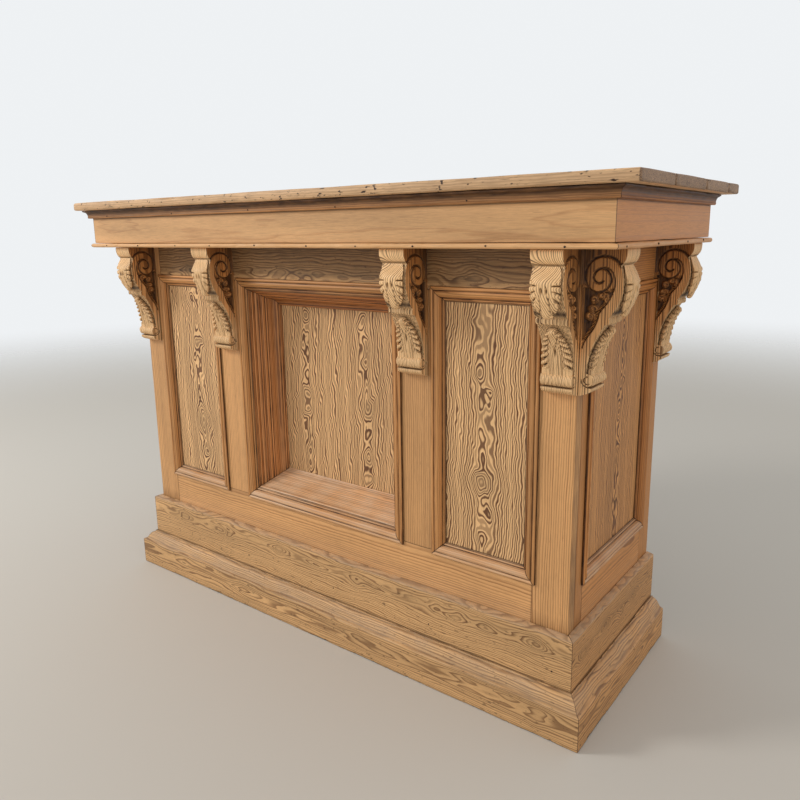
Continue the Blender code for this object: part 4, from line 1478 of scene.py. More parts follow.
@dataclass
class Canopy:
    """Fascia on its round-nosed soffit, and the bed mould under the worktop."""

    shop: Workshop
    gap: float = 0.0003
    fascia_thickness: float = 0.022
    soffit_nose: float = 0.0085

    def build(self) -> None:
        """Make the nine lengths from the places of their solids."""
        low, high = corners("fascia_front")
        ends = (low[1], high[0], corners("fascia_left")[1][1])
        self.fascia(ends)
        self.soffit(ends)
        self.bed_mould(ends)

    def fascia(self, ends: tuple[float, float, float]) -> None:
        """Make the boards, with a painted shadow line under the bed mould that sits on them.

        Args:
            ends: Y of the front, x of the right end and y of the back.
        """
        low, high = corners("fascia_front")
        height = high[2] - low[2]
        inner = -self.fascia_thickness
        board = rounded_outline([(inner, 0), (0, 0), (0, height), (inner, height)], 0.0008, 0.0018)
        # Painted shadow line just under the bed mould.
        age = AgeAndShade(rub=0.0004, dark_lines=(corners("bed_mould_front")[0][2] - low[2] - 0.0004,))
        skirt = Skirt("fascia", board, "fascia", "fascia", (-0.06, 0.02), age, end_stain=0.75)
        middle = low[2] + height / 2
        knots = (
            (middle - 0.004, 0.70, 1.1, 0.034),
            (middle + 0.01, -0.62, 1.3, 0.030),
            (middle - 0.01, -0.05, 0.8, 0.026),
        )
        skirt.figures["front"] = Figure(RIGHT, UP, ((middle, 0.30),), knots, 0.0030, 305, 14.0, 0.2)
        skirt.build(self.shop, *ends, low[2], 300)

    def soffit(self, ends: tuple[float, float, float]) -> None:
        """Make the board under the fascia, whose edge is half round.

        Args:
            ends: Y of the front, x of the right end and y of the back.
        """
        low, high = corners("soffit_front")
        thick = high[2] - low[2]
        radius = thick / 2
        inner = ends[0] - high[1]
        half_round = arc((self.soffit_nose - radius, radius), radius, -90, 90, 10)
        nose = rounded_outline([(inner, 0.0), *half_round, (inner, thick)], 0.0003, 0.012)
        age = AgeAndShade(rub=0.0012, worn_above=EVERYWHERE, worn=0.2)
        skirt = Skirt("soffit", nose, "fascia", "soffit", (0.02, -0.05), age, 0.3, along_step=0.006)
        skirt.build(self.shop, *ends, low[2], 310)

    def bed_mould(self, ends: tuple[float, float, float]) -> None:
        """Make the small cove with fillets that sits on the fascia under the worktop, with the worktop's
        painted shadow over its upper part.

        Args:
            ends: Y of the front, x of the right end and y of the back.
        """
        low, high = corners("bed_mould_front")
        top = high[2] - low[2]
        points = [(self.gap, 0), (0.0075, 0), (0.0096, 0.0012), (0.0100, 0.0038), (0.0092, 0.0045)]
        points += list(bezier(((0.0092, 0.0050), (0.0096, 0.0125), (0.0125, 0.0160), (0.0165, 0.0163)), 8))
        points += [(0.0166, 0.0172), (0.0190, 0.0174), (0.0190, top), (self.gap, top)]
        outline = rounded_outline(points, 0.0003, 0.004)
        # Painted shadow of the worktop from 3.5 mm up; the tone of -1.3 darkens the whole mould.
        age = AgeAndShade(rub=0.0006, shaded_above=0.0035, shaded_over=0.010)
        skirt = Skirt("bed_mould", outline, "frame", "bed_mould", (0.03, -0.05), age, -1.3, 0.5)
        skirt.build(self.shop, *ends, low[2], 320)


@dataclass
class Plinth:
    """Upper plinth boards against the carcase, and the moulded lower boards in front of them."""

    shop: Workshop
    gap: float = 0.0003
    upper_thickness: float = 0.0177
    upper_top: float = 0.2037
    weathering: float = 0.0037
    lower_thickness: float = 0.0306
    face: float = 0.0735
    top: float = 0.0982
    fillet: float = 0.004

    def build(self) -> None:
        """Make the six lengths."""
        back = corners("plinth_upper_left")[1][1]
        for seed, skirt in ((340, self.upper()), (350, self.lower())):
            low, high = corners(f"{skirt.stem}_front")
            skirt.along_step = 0.005
            skirt.build(self.shop, low[1], high[0], back, 0.0, seed)

    def upper(self) -> Skirt:
        """Plain boards whose top slopes, worn along it and dark over the lower boards.

        Returns:
            The three boards.
        """
        inner = self.gap - self.upper_thickness
        points = [(inner, 0), (0, 0), (0, self.upper_top), (inner, self.upper_top + self.weathering)]
        outline = rounded_outline(points, 0.0016, 0.0035)
        age = AgeAndShade(rub=0.0012, worn_above=self.upper_top - 0.003, worn=1.0, dark_lines=(self.top + 0.0008,))
        skirt = Skirt("plinth_upper", outline, "plinth", "plinth", (-0.11, 0.018), age)
        skirt.figures = self.upper_figures()
        return skirt

    def lower(self) -> Skirt:
        """Boards with an ogee between two fillets on top, worn there, with a painted shadow line at the
        floor.

        Returns:
            The three boards.
        """
        inner = self.gap - self.lower_thickness
        fillet = self.fillet
        ogee = (
            (-fillet, self.face),
            (-fillet - 0.009, self.face + 0.002),
            (-fillet - 0.008, self.top - fillet),
            (inner + fillet, self.top - fillet),
        )
        points = [(inner, 0), (0, 0), (0, self.face - 0.0012), (-0.0012, self.face), *bezier(ogee, 12)]
        points += [(inner + fillet, self.top), (inner, self.top)]
        outline = rounded_outline(points, 0.0012, 0.005)
        # Painted shadow line where the boards meet the floor.
        age = AgeAndShade(rub=0.0014, cavity=0.5, worn_above=self.face - 0.004, worn=0.55, dark_lines=(0.0,))
        skirt = Skirt("plinth_lower", outline, "plinth", "plinth", (-0.03, -0.055), age)
        skirt.figures = self.lower_figures()
        return skirt

    def upper_figures(self) -> dict[str, Figure]:
        """Figure of the upper boards: one heart near the top edge, with knots along it.

        Returns:
            A figure for each length.
        """
        front = (
            (0.172, 0.354, 2.0, 0.010),
            (0.178, 0.406, 2.6, 0.014),
            (0.171, 0.477, 1.6, 0.012),
            (0.174, 0.585, 3.0, 0.015),
            (0.168, 0.120, 2.0, 0.012),
            (0.176, -0.140, 2.4, 0.014),
            (0.168, -0.330, 3.0, 0.012),
            (0.172, -0.520, 2.0, 0.014),
        )
        side = (
            (0.150, -0.150, 3.2, 0.012),
            (0.162, -0.040, 4.2, 0.014),
            (0.140, 0.050, 3.0, 0.012),
            (0.155, 0.130, 3.0, 0.014),
        )
        heart = ((0.155, 0.014),)
        return {
            "front": Figure(RIGHT, UP, ((0.174, 0.016),), front, 0.0042, 701, 3.6, 1.0),
            "left": Figure(BACKWARD, UP, heart, side[::-1], 0.0040, 711, 3.2, 1.0),
            "right": Figure(BACKWARD, UP, heart, side, 0.0040, 721, 3.2, 1.0),
        }

    def lower_figures(self) -> dict[str, Figure]:
        """Figure of the lower boards: long arches that close at knots.

        Returns:
            A figure for each length.
        """
        front = (
            (0.052, 0.442, 1.0, 0.012),
            (0.053, 0.538, 1.2, 0.011),
            (0.050, 0.607, 1.8, 0.010),
            (0.022, 0.604, 1.2, 0.008),
            (0.050, 0.150, 1.2, 0.012),
            (0.045, -0.250, 1.4, 0.013),
            (0.050, -0.500, 1.2, 0.012),
        )
        side = ((0.050, -0.120, 1.4, 0.016), (0.040, 0.100, 1.6, 0.014))
        heart = ((0.046, 0.030),)
        return {
            "front": Figure(RIGHT, UP, heart, front, 0.0036, 731, 7.0, 0.8),
            "left": Figure(BACKWARD, UP, heart, side[::-1], 0.0036, 741, 7.0, 0.8),
            "right": Figure(BACKWARD, UP, heart, side, 0.0036, 751, 7.0, 0.8),
        }


@dataclass(frozen=True)
class CorbelPlace:
    """Where one corbel stands: its node, the middle of its foot and the way it faces.

    A notch of 0 means a plain back; else its size says how wide the back is cut over a moulding,
    and its sign on which side.
    """

    node: str
    foot: Array
    out: Array
    notch: float = 0.0
    notch_top: float = 0.0


@dataclass
class Corbel:
    """One carved scroll corbel, in its own frame: x across, s out from the wall, z up.

    The core is one closed grid whose rows run level round one side, the front and the other side.
    The hanging and the standing leaf are closed shells over the S-shaped front, and they touch the
    core only along their middles.
    """

    width: float = 0.060
    height: float = 0.256
    reach: float = 0.077
    cap: float = 0.025
    cap_step: float = 0.007
    throat: float = 0.0151
    roll_reach: float = 0.0282
    roll_height: float = 0.0284
    roll_radius: float = 0.0117
    base: float = 0.015
    base_reach: float = 0.024
    base_toe: float = 0.003
    bar_place: float = 0.535
    bar_root: float = 0.045
    bar_rise: float = 0.0025
    bar_height: float = 0.012
    hanging_length: float = 0.096
    standing_length: float = 0.086
    leaf_width: float = 0.0575
    volute: tuple[float, float] = (0.031, 0.209)
    notch_depth: float = 0.0078
    groove_depth: float = 0.0040
    line_depth: float = 0.0034
    cut_depth: float = 0.0028
    ground_depth: float = 0.0066
    lobe_height: float = 0.0054
    core_rows: int = 240
    side_columns: int = 66
    front_columns: int = 40
    leaf_columns: int = 74
    back_columns: int = 10

    def count(self, full: int) -> int:
        return int(full * (1.0))

    def curve(self, t: Array) -> tuple[Array, Array]:
        """Follow the S-shaped front, a cubic curve.

        Args:
            t: Shares of the way down, from 0 to 1.

        Returns:
            Points and their outward directions.
        """
        top = self.height - self.cap - 0.003
        bottom = self.roll_height + self.roll_radius
        span = top - bottom
        a = np.array((self.reach - self.cap_step - 0.003, top))
        b = np.array((self.reach * 1.255, bottom + span * 0.59))
        c = np.array((self.throat * 1.08, bottom + span * 0.497))
        d = np.array((self.throat, bottom))
        t = np.asarray(t)[..., None]
        s = 1 - t
        point = a * s ** 3 + 3 * b * s * s * t + 3 * c * s * t * t + d * t ** 3
        slope = 3 * (b - a) * s * s + 6 * (c - b) * s * t + 3 * (d - c) * t * t
        outward = np.stack((-slope[..., 1], slope[..., 0]), -1)
        return point, outward / np.linalg.norm(outward, axis=-1, keepdims=True)

    def bar_nose(self) -> Array:
        """Middle of the bar's nose."""
        return self.curve(np.array(self.bar_place))[0] + (self.bar_rise, 0)

    def front_line(self, rows: int) -> Array:
        """Side outline of the core from the cap's top edge to the foot, evenly spaced.

        Args:
            rows: How many points it has.

        Returns:
            Points of (s, z).
        """
        top = self.height
        reach = self.reach
        bottom = top - self.cap
        cap = (
            (reach, top - 0.004),
            (reach, top - self.cap * 0.6),
            (reach - self.cap_step * 0.3, bottom + 0.005),
            (reach - self.cap_step, bottom),
        )
        upper = self.curve(np.linspace(0.0, self.bar_place - self.bar_root, 60))
        lower = self.curve(np.linspace(self.bar_place + self.bar_root, 1.0, 50))
        nose = self.bar_nose()
        half = self.bar_height / 2
        roll = (self.roll_reach - self.roll_radius, self.roll_height)
        base, rise = self.base_reach, self.base
        cove = (
            (base - 0.001, rise - 0.005),
            (base - 0.002, 0.005),
            (self.base_toe + 0.004, 0.0015),
            (self.base_toe, 0.0),
        )
        points = (
            [(reach - 0.0015, top), (reach, top - 0.0015)],
            bezier(cap, 12),
            upper[0] - upper[1] * 0.0008,
            [nose + (-0.0015, half), nose + (0, half / 2), nose + (0, -half / 2), nose + (-0.0015, -half)],
            lower[0] - lower[1] * 0.0008,
            arc(roll, self.roll_radius, 85, -95, 16),
            [(roll[0], rise), (base - 0.001, rise), (base, rise - 0.001), (base, rise - 0.004)],
            bezier(cove, 8),
        )
        return along_line(np.concatenate([np.asarray(part, float) for part in points]), rows)

    def spiral(self) -> Array:
        """Centre line of the volute's groove, wound out from the eye to the cap in nearly two turns.

        Returns:
            Points of (s, z).
        """
        coil = (
            (51, 9.3), (100, 11.1), (160, 10.7), (200, 10.2), (235, 11.0), (280, 14.2), (330, 16.7),
            (373, 20.1), (428, 24.4), (479, 27.5), (530, 25.4), (567, 26.5), (600, 29.8), (639, 34.6),
            (673, 39.0), (694, 40.3),
        )
        turns, millimetres = np.transpose(coil)
        angle = np.linspace(turns[0], turns[-1], 300)
        radius = softened(np.interp(angle, turns, millimetres), 8) * 0.001
        turn = np.radians(-angle)
        return np.stack((self.volute[0] + radius * np.cos(turn), self.volute[1] + radius * np.sin(turn)), 1)

    def band_edge(self) -> Array:
        """Inner edge of the S-shaped band, from the top of the coil down to the wall.

        Returns:
            Points of (s, z).
        """
        millimetres = (
            (34, 223.7), (41, 224.8), (47, 222.5), (52.7, 217.3), (56.3, 209.1), (57.4, 201.6), (57.1, 192.4),
            (55.5, 185.5), (51.5, 175.5), (46.0, 165.5), (38.0, 156.5), (32.5, 147.5), (29.5, 135.5),
            (25.1, 123.1), (17.6, 112.6), (11.1, 102.2), (5.6, 92.8), (3.4, 82.0), (2.4, 60.0),
        )
        dense = along_line(np.array(millimetres) * 0.001, 220)
        return np.stack([softened(column, 6) for column in dense.T], 1)

    def leaf_work(self, s: Array, z: Array, band: Array) -> Array:
        """Lobes that fill the ground beside the band: curled leaves, and a dashed stem along it.

        A leaf is (1 - away^3)^0.5 over an oval, ridged by a spiral, and the stem is a half round.

        Args:
            s: Distances from the wall.
            z: Heights.
            band: Distance of the band's inner edge from the wall at each height.

        Returns:
            Heights of 0 to 1 over the ground.
        """
        lobes = np.zeros_like(s)
        leaves = (
            (0.0215, 0.1700, 0.0058, 0.0062),
            (0.0370, 0.1765, 0.0088, 0.0052),
            (0.0445, 0.1690, 0.0052, 0.0060),
            (0.0195, 0.1548, 0.0082, 0.0052),
            (0.0160, 0.1415, 0.0088, 0.0064),
            (0.0480, 0.1880, 0.0048, 0.0040),
        )
        for centre_s, centre_z, wide, tall in leaves:
            away = np.hypot((s - centre_s) / wide, (z - centre_z) / tall) / 1.3
            curl = math.tau * away * 1.2 + np.arctan2(z - centre_z, s - centre_s)
            ridge = 0.72 + 0.28 * np.cos(curl)
            lobes = np.maximum(lobes, np.clip(1 - away ** 3, 0, 1) ** 0.5 * ridge)
        dash = 0.62 + 0.38 * np.sin(math.tau * (z * 1.3 - s) / 0.0058)
        stem = np.clip(1 - (np.abs(band - 0.0046 - s) / 0.0034) ** 2, 0, 1) ** 0.5 * dash
        return np.clip(np.maximum(lobes, stem * (z < 0.166)), 0, 1)

    def roll_cuts(self, s: Array, z: Array) -> Array:
        """Ring cut into the foot roll's end, and the line between the roll and the wall.

        Args:
            s: Distances from the wall.
            z: Heights.

        Returns:
            Depths of 0 to 1.
        """
        out = s - (self.roll_reach - self.roll_radius)
        up = z - self.roll_height
        roll = np.hypot(out, up)
        turn = np.degrees(np.arctan2(up, out)) % 360
        ring = np.clip(1 - np.abs(roll - 0.0068) / 0.0013, 0, 1) * (turn > 75) * (turn < 305)
        hem = np.clip(1 - np.abs(roll - self.roll_radius) / 0.0015, 0, 1) * (turn > 178) * (turn < 330)
        return np.maximum(ring, hem)

    def side_relief(self, s: Array, z: Array) -> tuple[Array, Array, Array, Array]:
        """Depth of the carving on a side, inwards, with its soiling and painted shade, tone and stain.

        The volute's groove is (1 - (distance / width)^2)^0.45 deep, smooth steps sink the ground
        above the coil and beside the band, and the deepest of all cuts counts.

        Args:
            s: Distances from the wall.
            z: Heights.

        Returns:
            Depth in metres, soiling with painted shade, tone and stain.
        """
        edge = self.band_edge()
        coil = distance_to(s, z, self.spiral())
        rim = distance_to(s, z, edge)
        around = np.hypot(s - self.volute[0], z - self.volute[1])
        angle = np.degrees(np.arctan2(z - self.volute[1], s - self.volute[0]))
        wide = 0.0023 + 0.0008 * smooth_step(0.030, 0.036, around)
        groove = np.clip(1 - (coil / wide) ** 2, 0, 1) ** 0.45
        depth = self.groove_depth * groove
        dirt = groove.copy()
        turns = (0, 26, 47, 69, 94, 120, 153, 180)
        radii = (0.041, 0.0403, 0.0394, 0.037, 0.0329, 0.0299, 0.0263, 0.0252)
        outer = np.interp(angle % 360, turns, radii)
        above = smooth_step(0.0, 0.0015, around - outer) * ((angle > 24) | (angle < -150)) * (z > 0.196)
        depth = np.maximum(depth, 0.0014 * above * (s < self.reach - 0.012))
        band = np.interp(z, edge[::-1, 1][:200], edge[::-1, 0][:200])
        inside = smooth_step(0.0, 0.0012, band - s) * smooth_step(0.0, 0.0015, s - 0.0025)
        below = smooth_step(0.0, 0.0015, around - np.where(angle < -13, 0.0262, 0.040)) * (z < 0.190)
        sunk = inside * below * smooth_step(0.094, 0.100, z)
        sliver = smooth_step(0.0, 0.0015, around - 0.0205) * (angle < 20) * (angle > -62)
        depth = np.maximum(depth, 0.0022 * sliver * inside * (1 - sunk))
        lobes = self.leaf_work(s, z, band)
        slit = ((s - 0.0315) + (z - 0.1716) * 0.3) / 0.0045
        slot = np.exp(-slit ** 4 - ((z - 0.1716 - (s - 0.0315) * 0.25) / 0.0014) ** 2)
        pit = np.exp(-(((s - 0.0085) / 0.003) ** 2 + ((z - 0.1325) / 0.0022) ** 2))
        deep = np.maximum(slot, pit) * sunk
        ground = self.ground_depth - self.lobe_height * lobes
        depth = np.maximum(depth, sunk * ground) + 0.0030 * deep
        # Painted shade on the sunk ground, lighter on its lobes; the cuts darken with dirt and painted shade.
        dirt = np.maximum.reduce((dirt, sunk * (0.95 - 0.85 * lobes), deep))
        line = np.clip(1 - rim / 0.0019, 0, 1) * (z > 0.085)
        depth = np.maximum(depth, self.line_depth * line ** 0.6)
        dirt = np.maximum(dirt, line ** 0.5)
        mark = self.roll_cuts(s, z)
        depth = np.maximum(depth, self.cut_depth * mark)
        dirt = np.maximum(dirt, mark)
        # Painted shadow line under the cap's edge.
        shelf = np.exp(-((z - self.height + self.cap) / 0.0012) ** 2) * (s > 0.060)
        depth = depth + 0.0016 * shelf
        dirt = np.maximum(dirt, 0.8 * shelf)
        tone, stain, grime_and_shade = self.side_colour(s, z, band)
        # Painted shade above the coil, under the cap, and high up at the wall.
        return depth, np.clip(np.maximum(dirt, grime_and_shade + 0.35 * above), 0, 1), tone, stain

    def side_colour(self, s: Array, z: Array, band: Array) -> tuple[Array, Array, Array]:
        """Tone and stain of a side: painted shade high up under the cap and near the wall, pale on the band.

        Args:
            s: Distances from the wall.
            z: Heights.
            band: Distance of the band's inner edge from the wall at each height.

        Returns:
            Tone, stain, and painted shade high up at the wall.
        """
        low = smooth_step(0.145, 0.105, z)
        near_wall = smooth_step(0.030, 0.004, s)
        up = smooth_step(0.150, 0.235, z)
        # Painted shade: the tone falls towards the top and close to the wall, except on the pale band.
        tone = 0.6 * low - 1.5 * up * (1 - smooth_step(0.046, 0.070, s)) - 0.8 * near_wall * (1 - low)
        pale = smooth_step(-0.002, 0.002, s - band) * smooth_step(0.228, 0.200, z)
        stain = 0.9 * smooth_step(0.04, 0.10, z) * (1 - 0.35 * pale)
        return tone + (0.2 - tone) * pale, stain, 0.42 * up * near_wall

    def core(self, place: CorbelPlace) -> tuple[Array, Array, Array, Array]:
        """Points (x, s, z) of the core's grid, with its soiling and painted shade, stain and tone.

        Args:
            place: Says whether the back is cut over a moulding.

        Returns:
            Points by row and place round the corbel, soiling with painted shade, stain and tone.
        """
        rows = self.count(self.core_rows)
        half = self.width / 2
        front = self.front_line(rows)
        level = np.minimum.accumulate(front[:, 1]) - np.linspace(0, 1e-5, rows)
        tangent = np.gradient(front, axis=0)
        normal = np.stack((-tangent[:, 1], tangent[:, 0]), 1)
        normal /= np.linalg.norm(normal, axis=1)[:, None]
        a = np.linspace(0, 1, self.count(self.side_columns))
        s = front[:, :1] * a[None] * (1 - 0.0007 / front[:, :1])
        z = level[:, None] + (front[:, 1:2] - level[:, None]) * a[None]
        depth, dirt, tone, side_stain = self.side_relief(s, z)
        depth = depth * smooth_step(0.0, 0.0006, s + 0.0002)
        left = np.stack((-half + depth, s, z), -1)
        right = np.stack((half - depth, s, z), -1)[:, ::-1]
        x = np.linspace(-half + 0.0007, half - 0.0007, self.count(self.front_columns))
        rise, front_dirt_and_shade = self.front_relief(x, front)
        face = front[:, None, :] + normal[:, None, :] * rise[..., None]
        middle = np.stack((np.broadcast_to(x, rise.shape), face[..., 0], face[..., 1]), -1)
        cut = self.notch_depth * (level < place.notch_top)[:, None]
        ledge = half - abs(place.notch)
        edge = half - 0.0004
        back_x = np.array((edge, 0.01, -0.01, -edge))
        back_s = np.zeros((rows, 4))
        if place.notch > 0:
            back_x[1:3] = ledge, ledge - 0.0004
            back_s[:, :2] = cut
            right[..., 1] = np.maximum(right[..., 1], cut)
        elif place.notch < 0:
            back_x[1:3] = 0.0004 - ledge, -ledge
            back_s[:, 2:] = cut
            left[..., 1] = np.maximum(left[..., 1], cut)
        back = np.stack(np.broadcast_arrays(back_x, back_s, level[:, None]), -1)
        points = np.concatenate((left, middle, right, back), 1)
        zeros = np.zeros((rows, 4))
        dirt = np.concatenate((dirt, front_dirt_and_shade, dirt[:, ::-1], zeros), 1)
        stain = np.concatenate((side_stain, 0 * front_dirt_and_shade, side_stain[:, ::-1], zeros), 1)
        tone = np.concatenate((tone, 0.5 + 0 * front_dirt_and_shade, tone[:, ::-1], zeros), 1)
        return points, dirt, stain, tone

    def front_relief(self, x: Array, front: Array) -> tuple[Array, Array]:
        """Rise of the core's front: ribbed bar, punched ground, reeded roll and base.

        Args:
            x: Places across.
            front: The side outline's points, one for each row.

        Returns:
            Rise in metres, and soiling with painted shade, by row and column.
        """
        z = front[:, 1:2]
        share = x[None] / (self.width / 2)
        nose = self.bar_nose()
        bar = smooth_step(0.0075, 0.0055, np.abs(z - nose[1])) * (front[:, :1] > nose[0] - 0.006)
        ribs = np.abs(np.sin(math.pi * 4.5 * (share + 1)))
        rise = -0.0022 * bar * (1 - ribs ** 0.6)
        dirt = bar * (1 - ribs ** 0.5) * 0.9
        roll = smooth_step(self.roll_radius, self.roll_radius - 0.003, np.abs(z - self.roll_height))
        reed = np.sin(math.tau * (3.5 * share + 55 * (z - self.roll_height) * np.sign(share)))
        rise = rise + roll * 0.0004 * reed
        dirt = np.maximum(dirt, roll * np.clip(-reed, 0, 1) ** 2 * 0.25)
        ground = (z < self.height - self.cap - 0.001) & (z > self.roll_height + self.roll_radius - 0.002)
        where = np.stack((x[None] + 0 * z, 0 * x[None] + z, 0 * x[None] + 0 * z), -1)
        punch = waves(where, 0.0042, 77, 12)
        rise = rise - 0.0005 * np.clip(punch, 0, None) * ground * (1 - bar)
        dirt = np.maximum(dirt, ground * (1 - bar) * (0.26 + 0.30 * punch))
        # Painted shadow under the hanging leaf's tip, just above the bar.
        dirt = np.maximum(dirt, 0.95 * np.exp(-((z - nose[1] - 0.0135) / 0.0060) ** 2) + 0 * share)
        # Painted shadow lines along the base and under the cap.
        for level in (self.base, self.height - self.cap):
            dirt = np.maximum(dirt, 0.75 * np.exp(-((z - level) / 0.0011) ** 2) + 0 * share)
        return rise, np.clip(dirt, 0, 1)

    def leaf(self, hanging: bool) -> tuple[Array, Array]:
        """Grid of a leaf, which is a closed shell.

        Place v runs from 0 at the root to 1 at the tip along the S-shaped front, and q from 0 at
        the midrib to 1 at the edge. The face rises over the front by its edge height, its crown
        and its carving.

        Args:
            hanging: Whether it is the hanging leaf, not the standing one.

        Returns:
            Points (x, s, z), and soiling with painted shade, by row and place round the leaf.
        """
        rows = self.count(140 if hanging else 116)
        columns = self.count(self.leaf_columns) // 2 * 2
        v = np.linspace(0, 1, rows)[:, None]
        if hanging:
            places = (0, 0.04, 0.12, 0.32, 0.52, 0.72, 0.88, 0.97, 1)
            shares = (0.72, 0.82, 0.92, 1, 0.96, 0.80, 0.54, 0.32, 0.16)
            carve = self.hanging_relief
            crown, flare = 0.0060, 0.0026
            edge = 0.0020 + 0.0036 * smooth_step(0.0, 0.3, v)
            grown = smooth_step(0.02, 0.30, v)
            free = 0.0055 * smooth_step(0.74, 0.90, v)
            t = 0.002 + (0.465 - 0.002) * v
        else:
            places = (0, 0.30, 0.50, 0.66, 0.80, 0.92, 0.98, 1)
            shares = (1, 1, 0.90, 0.76, 0.58, 0.42, 0.28, 0.14)
            carve = self.standing_relief
            crown, flare = 0.0050, 0.0016
            edge = 0.0070
            grown = 0.4 + 0.6 * smooth_step(0.0, 0.25, v)
            free = 0.0
            t = 1.010 + (0.600 - 1.010) * v
        reach = math.pi / 2 * 0.92
        x = np.sin(np.linspace(-1, 1, columns) * reach)[None] / math.sin(reach)
        q = np.abs(x)
        half = self.leaf_width / 2 * np.interp(v, places, shares)
        half = half - carve(v, np.ones_like(v), half)[2]
        relief, dirt, _ = carve(v, q, half)
        rise = edge + crown * (1 - q ** 2.2) * grown + relief + flare * smooth_step(0.70, 1.0, v)
        head = np.clip((v - 0.90) / 0.10, 0, 1)
        rise = rise - 0.0050 * (1 - np.sqrt(1 - head ** 2))
        walls = np.array((0.85, 0.55, 0.25))[None]
        back_x = np.linspace(1, -1, self.back_columns)[None]
        hollow = (1 - smooth_step(0.35, 0.75, np.abs(back_x))) * (1 - smooth_step(0.80, 0.95, v))
        back = 0.0006 - 0.0040 * hollow + free
        right_wall = back[:, :1] + (rise[:, -1:] - back[:, :1]) * walls
        point, outward = self.curve(t[:, 0])
        levels = np.concatenate((rise, right_wall, back, right_wall[:, ::-1]), 1)
        side = (0.996 - 0.03 * (1 - walls)) * half
        xs = np.concatenate((x * half, side, back_x * half * 0.96, -side[:, ::-1]), 1)
        face = point[:, None, :] + outward[:, None, :] * levels[..., None]
        # The side walls darken towards the core with dirt and painted shade, and the hidden back against the
        # core is painted shade.
        wall_dirt_and_shade = np.broadcast_to(0.15 + 0.7 * (1 - walls), (rows, 3))
        back_shade = np.full((rows, self.back_columns), 0.9)
        dirt = np.concatenate((dirt, wall_dirt_and_shade, back_shade, wall_dirt_and_shade[:, ::-1]), 1)
        return np.stack((xs, face[..., 0], face[..., 1]), -1), np.clip(dirt, 0, 1)

    def hanging_relief(self, v: Array, q: Array, half: Array) -> tuple[Array, Array, Array]:
        """Carving of the hanging leaf: a plain crown, eyes, and lobes that fan out below them.

        With r and the turn a measured about a place on the midrib, a from straight down, the lobes
        are the whole parts of a (1 + 9 r) over their spread, so that their borders bend downwards.

        Args:
            v: Places along the leaf.
            q: Places across, from the midrib to the edge.
            half: Half widths.

        Returns:
            Relief, darkening of the cuts by dirt and painted shade, and how far the edge is notched there.
        """
        down = (v - 0.40) * self.hanging_length
        out = q * half
        r = np.hypot(down, out)
        turn = np.degrees(np.arctan2(out, down))
        lobe = (turn * (1 + 9 * r) - 22) / 37
        part = lobe - np.floor(lobe)
        border = np.minimum(part, 1 - part) * math.radians(37) * r / (1 + 9 * r)
        begun = smooth_step(0.009, 0.018, r) * (turn < 122) * smooth_step(0.46, 0.74, q)
        cut = np.exp(-(border / 0.0011) ** 2) * begun
        relief = -0.0036 * cut + 0.0013 * np.sin(math.pi * part) ** 0.8 * begun
        eye = np.exp(-((out - 0.0045) / 0.0016) ** 2 - ((down - 0.001) / 0.0050) ** 2)
        length = smooth_step(0.004, 0.014, down) * smooth_step(0.052, 0.040, down)
        rib = np.exp(-((out - 0.0085) / 0.0011) ** 2) * length
        relief = relief - 0.0050 * eye - 0.0014 * rib
        # Cuts, eyes and ribs darken with dirt and painted shade.
        dirt = np.maximum(np.maximum(0.95 * cut, eye), 0.6 * rib)
        notch = 0.0042 * np.exp(-(border / 0.0020) ** 2) * begun
        return relief, dirt, notch

    def standing_relief(self, v: Array, q: Array, half: Array) -> tuple[Array, Array, Array]:
        """Carving of the standing leaf: teeth along its sides, ribs at its root, a fan at its head.

        The teeth are the whole parts of 7.5 (v + 0.1 q^2), cut in only near the edge.

        Args:
            v: Places along the leaf.
            q: Places across, from the midrib to the edge.
            half: Half widths.

        Returns:
            Relief, darkening of the cuts by dirt and painted shade, and how far the edge is notched there.
        """
        up = (v - 0.46) * self.standing_length
        out = q * half
        tooth = 7.5 * (v + 0.10 * q ** 2) + 0.3
        part = tooth - np.floor(tooth)
        border = np.minimum(part, 1 - part)
        near_edge = smooth_step(0.50, 0.74, q) * smooth_step(0.07, 0.14, v)
        cut = np.exp(-(border / 0.15) ** 2) * near_edge
        relief = -0.0052 * cut + 0.0022 * np.sin(math.pi * part) ** 0.8 * near_edge
        groove = np.exp(-((q - 0.54) / 0.05) ** 2) * smooth_step(0.05, 0.15, v) * smooth_step(0.92, 0.80, v)
        ribs = np.exp(-((out - 0.0045) / 0.0010) ** 2) + np.exp(-((out - 0.0108) / 0.0010) ** 2)
        ribs = ribs * smooth_step(0.002, -0.010, up)
        slit = np.exp(-(out / 0.0019) ** 2 - (up / 0.0080) ** 2)
        r = np.hypot(up, out)
        turn = np.degrees(np.arctan2(out, np.maximum(up, 1e-4)))
        fan = (turn - 16) / 30
        fan_border = np.abs(fan - np.round(fan)) * math.radians(30) * r
        fan_cut = np.exp(-(fan_border / 0.0009) ** 2) * smooth_step(0.005, 0.012, r) * (up > 0) * (q < 0.62)
        relief = relief - 0.0014 * groove - 0.0013 * ribs - 0.0050 * slit - 0.0014 * fan_cut
        # Teeth, grooves, ribs, slit and fan darken with dirt and painted shade.
        dirt = np.maximum.reduce((0.95 * cut, 0.45 * groove, 0.45 * ribs, slit, 0.55 * fan_cut))
        notch = 0.0042 * np.exp(-(border / 0.16) ** 2) * smooth_step(0.07, 0.14, v)
        return relief, dirt, notch

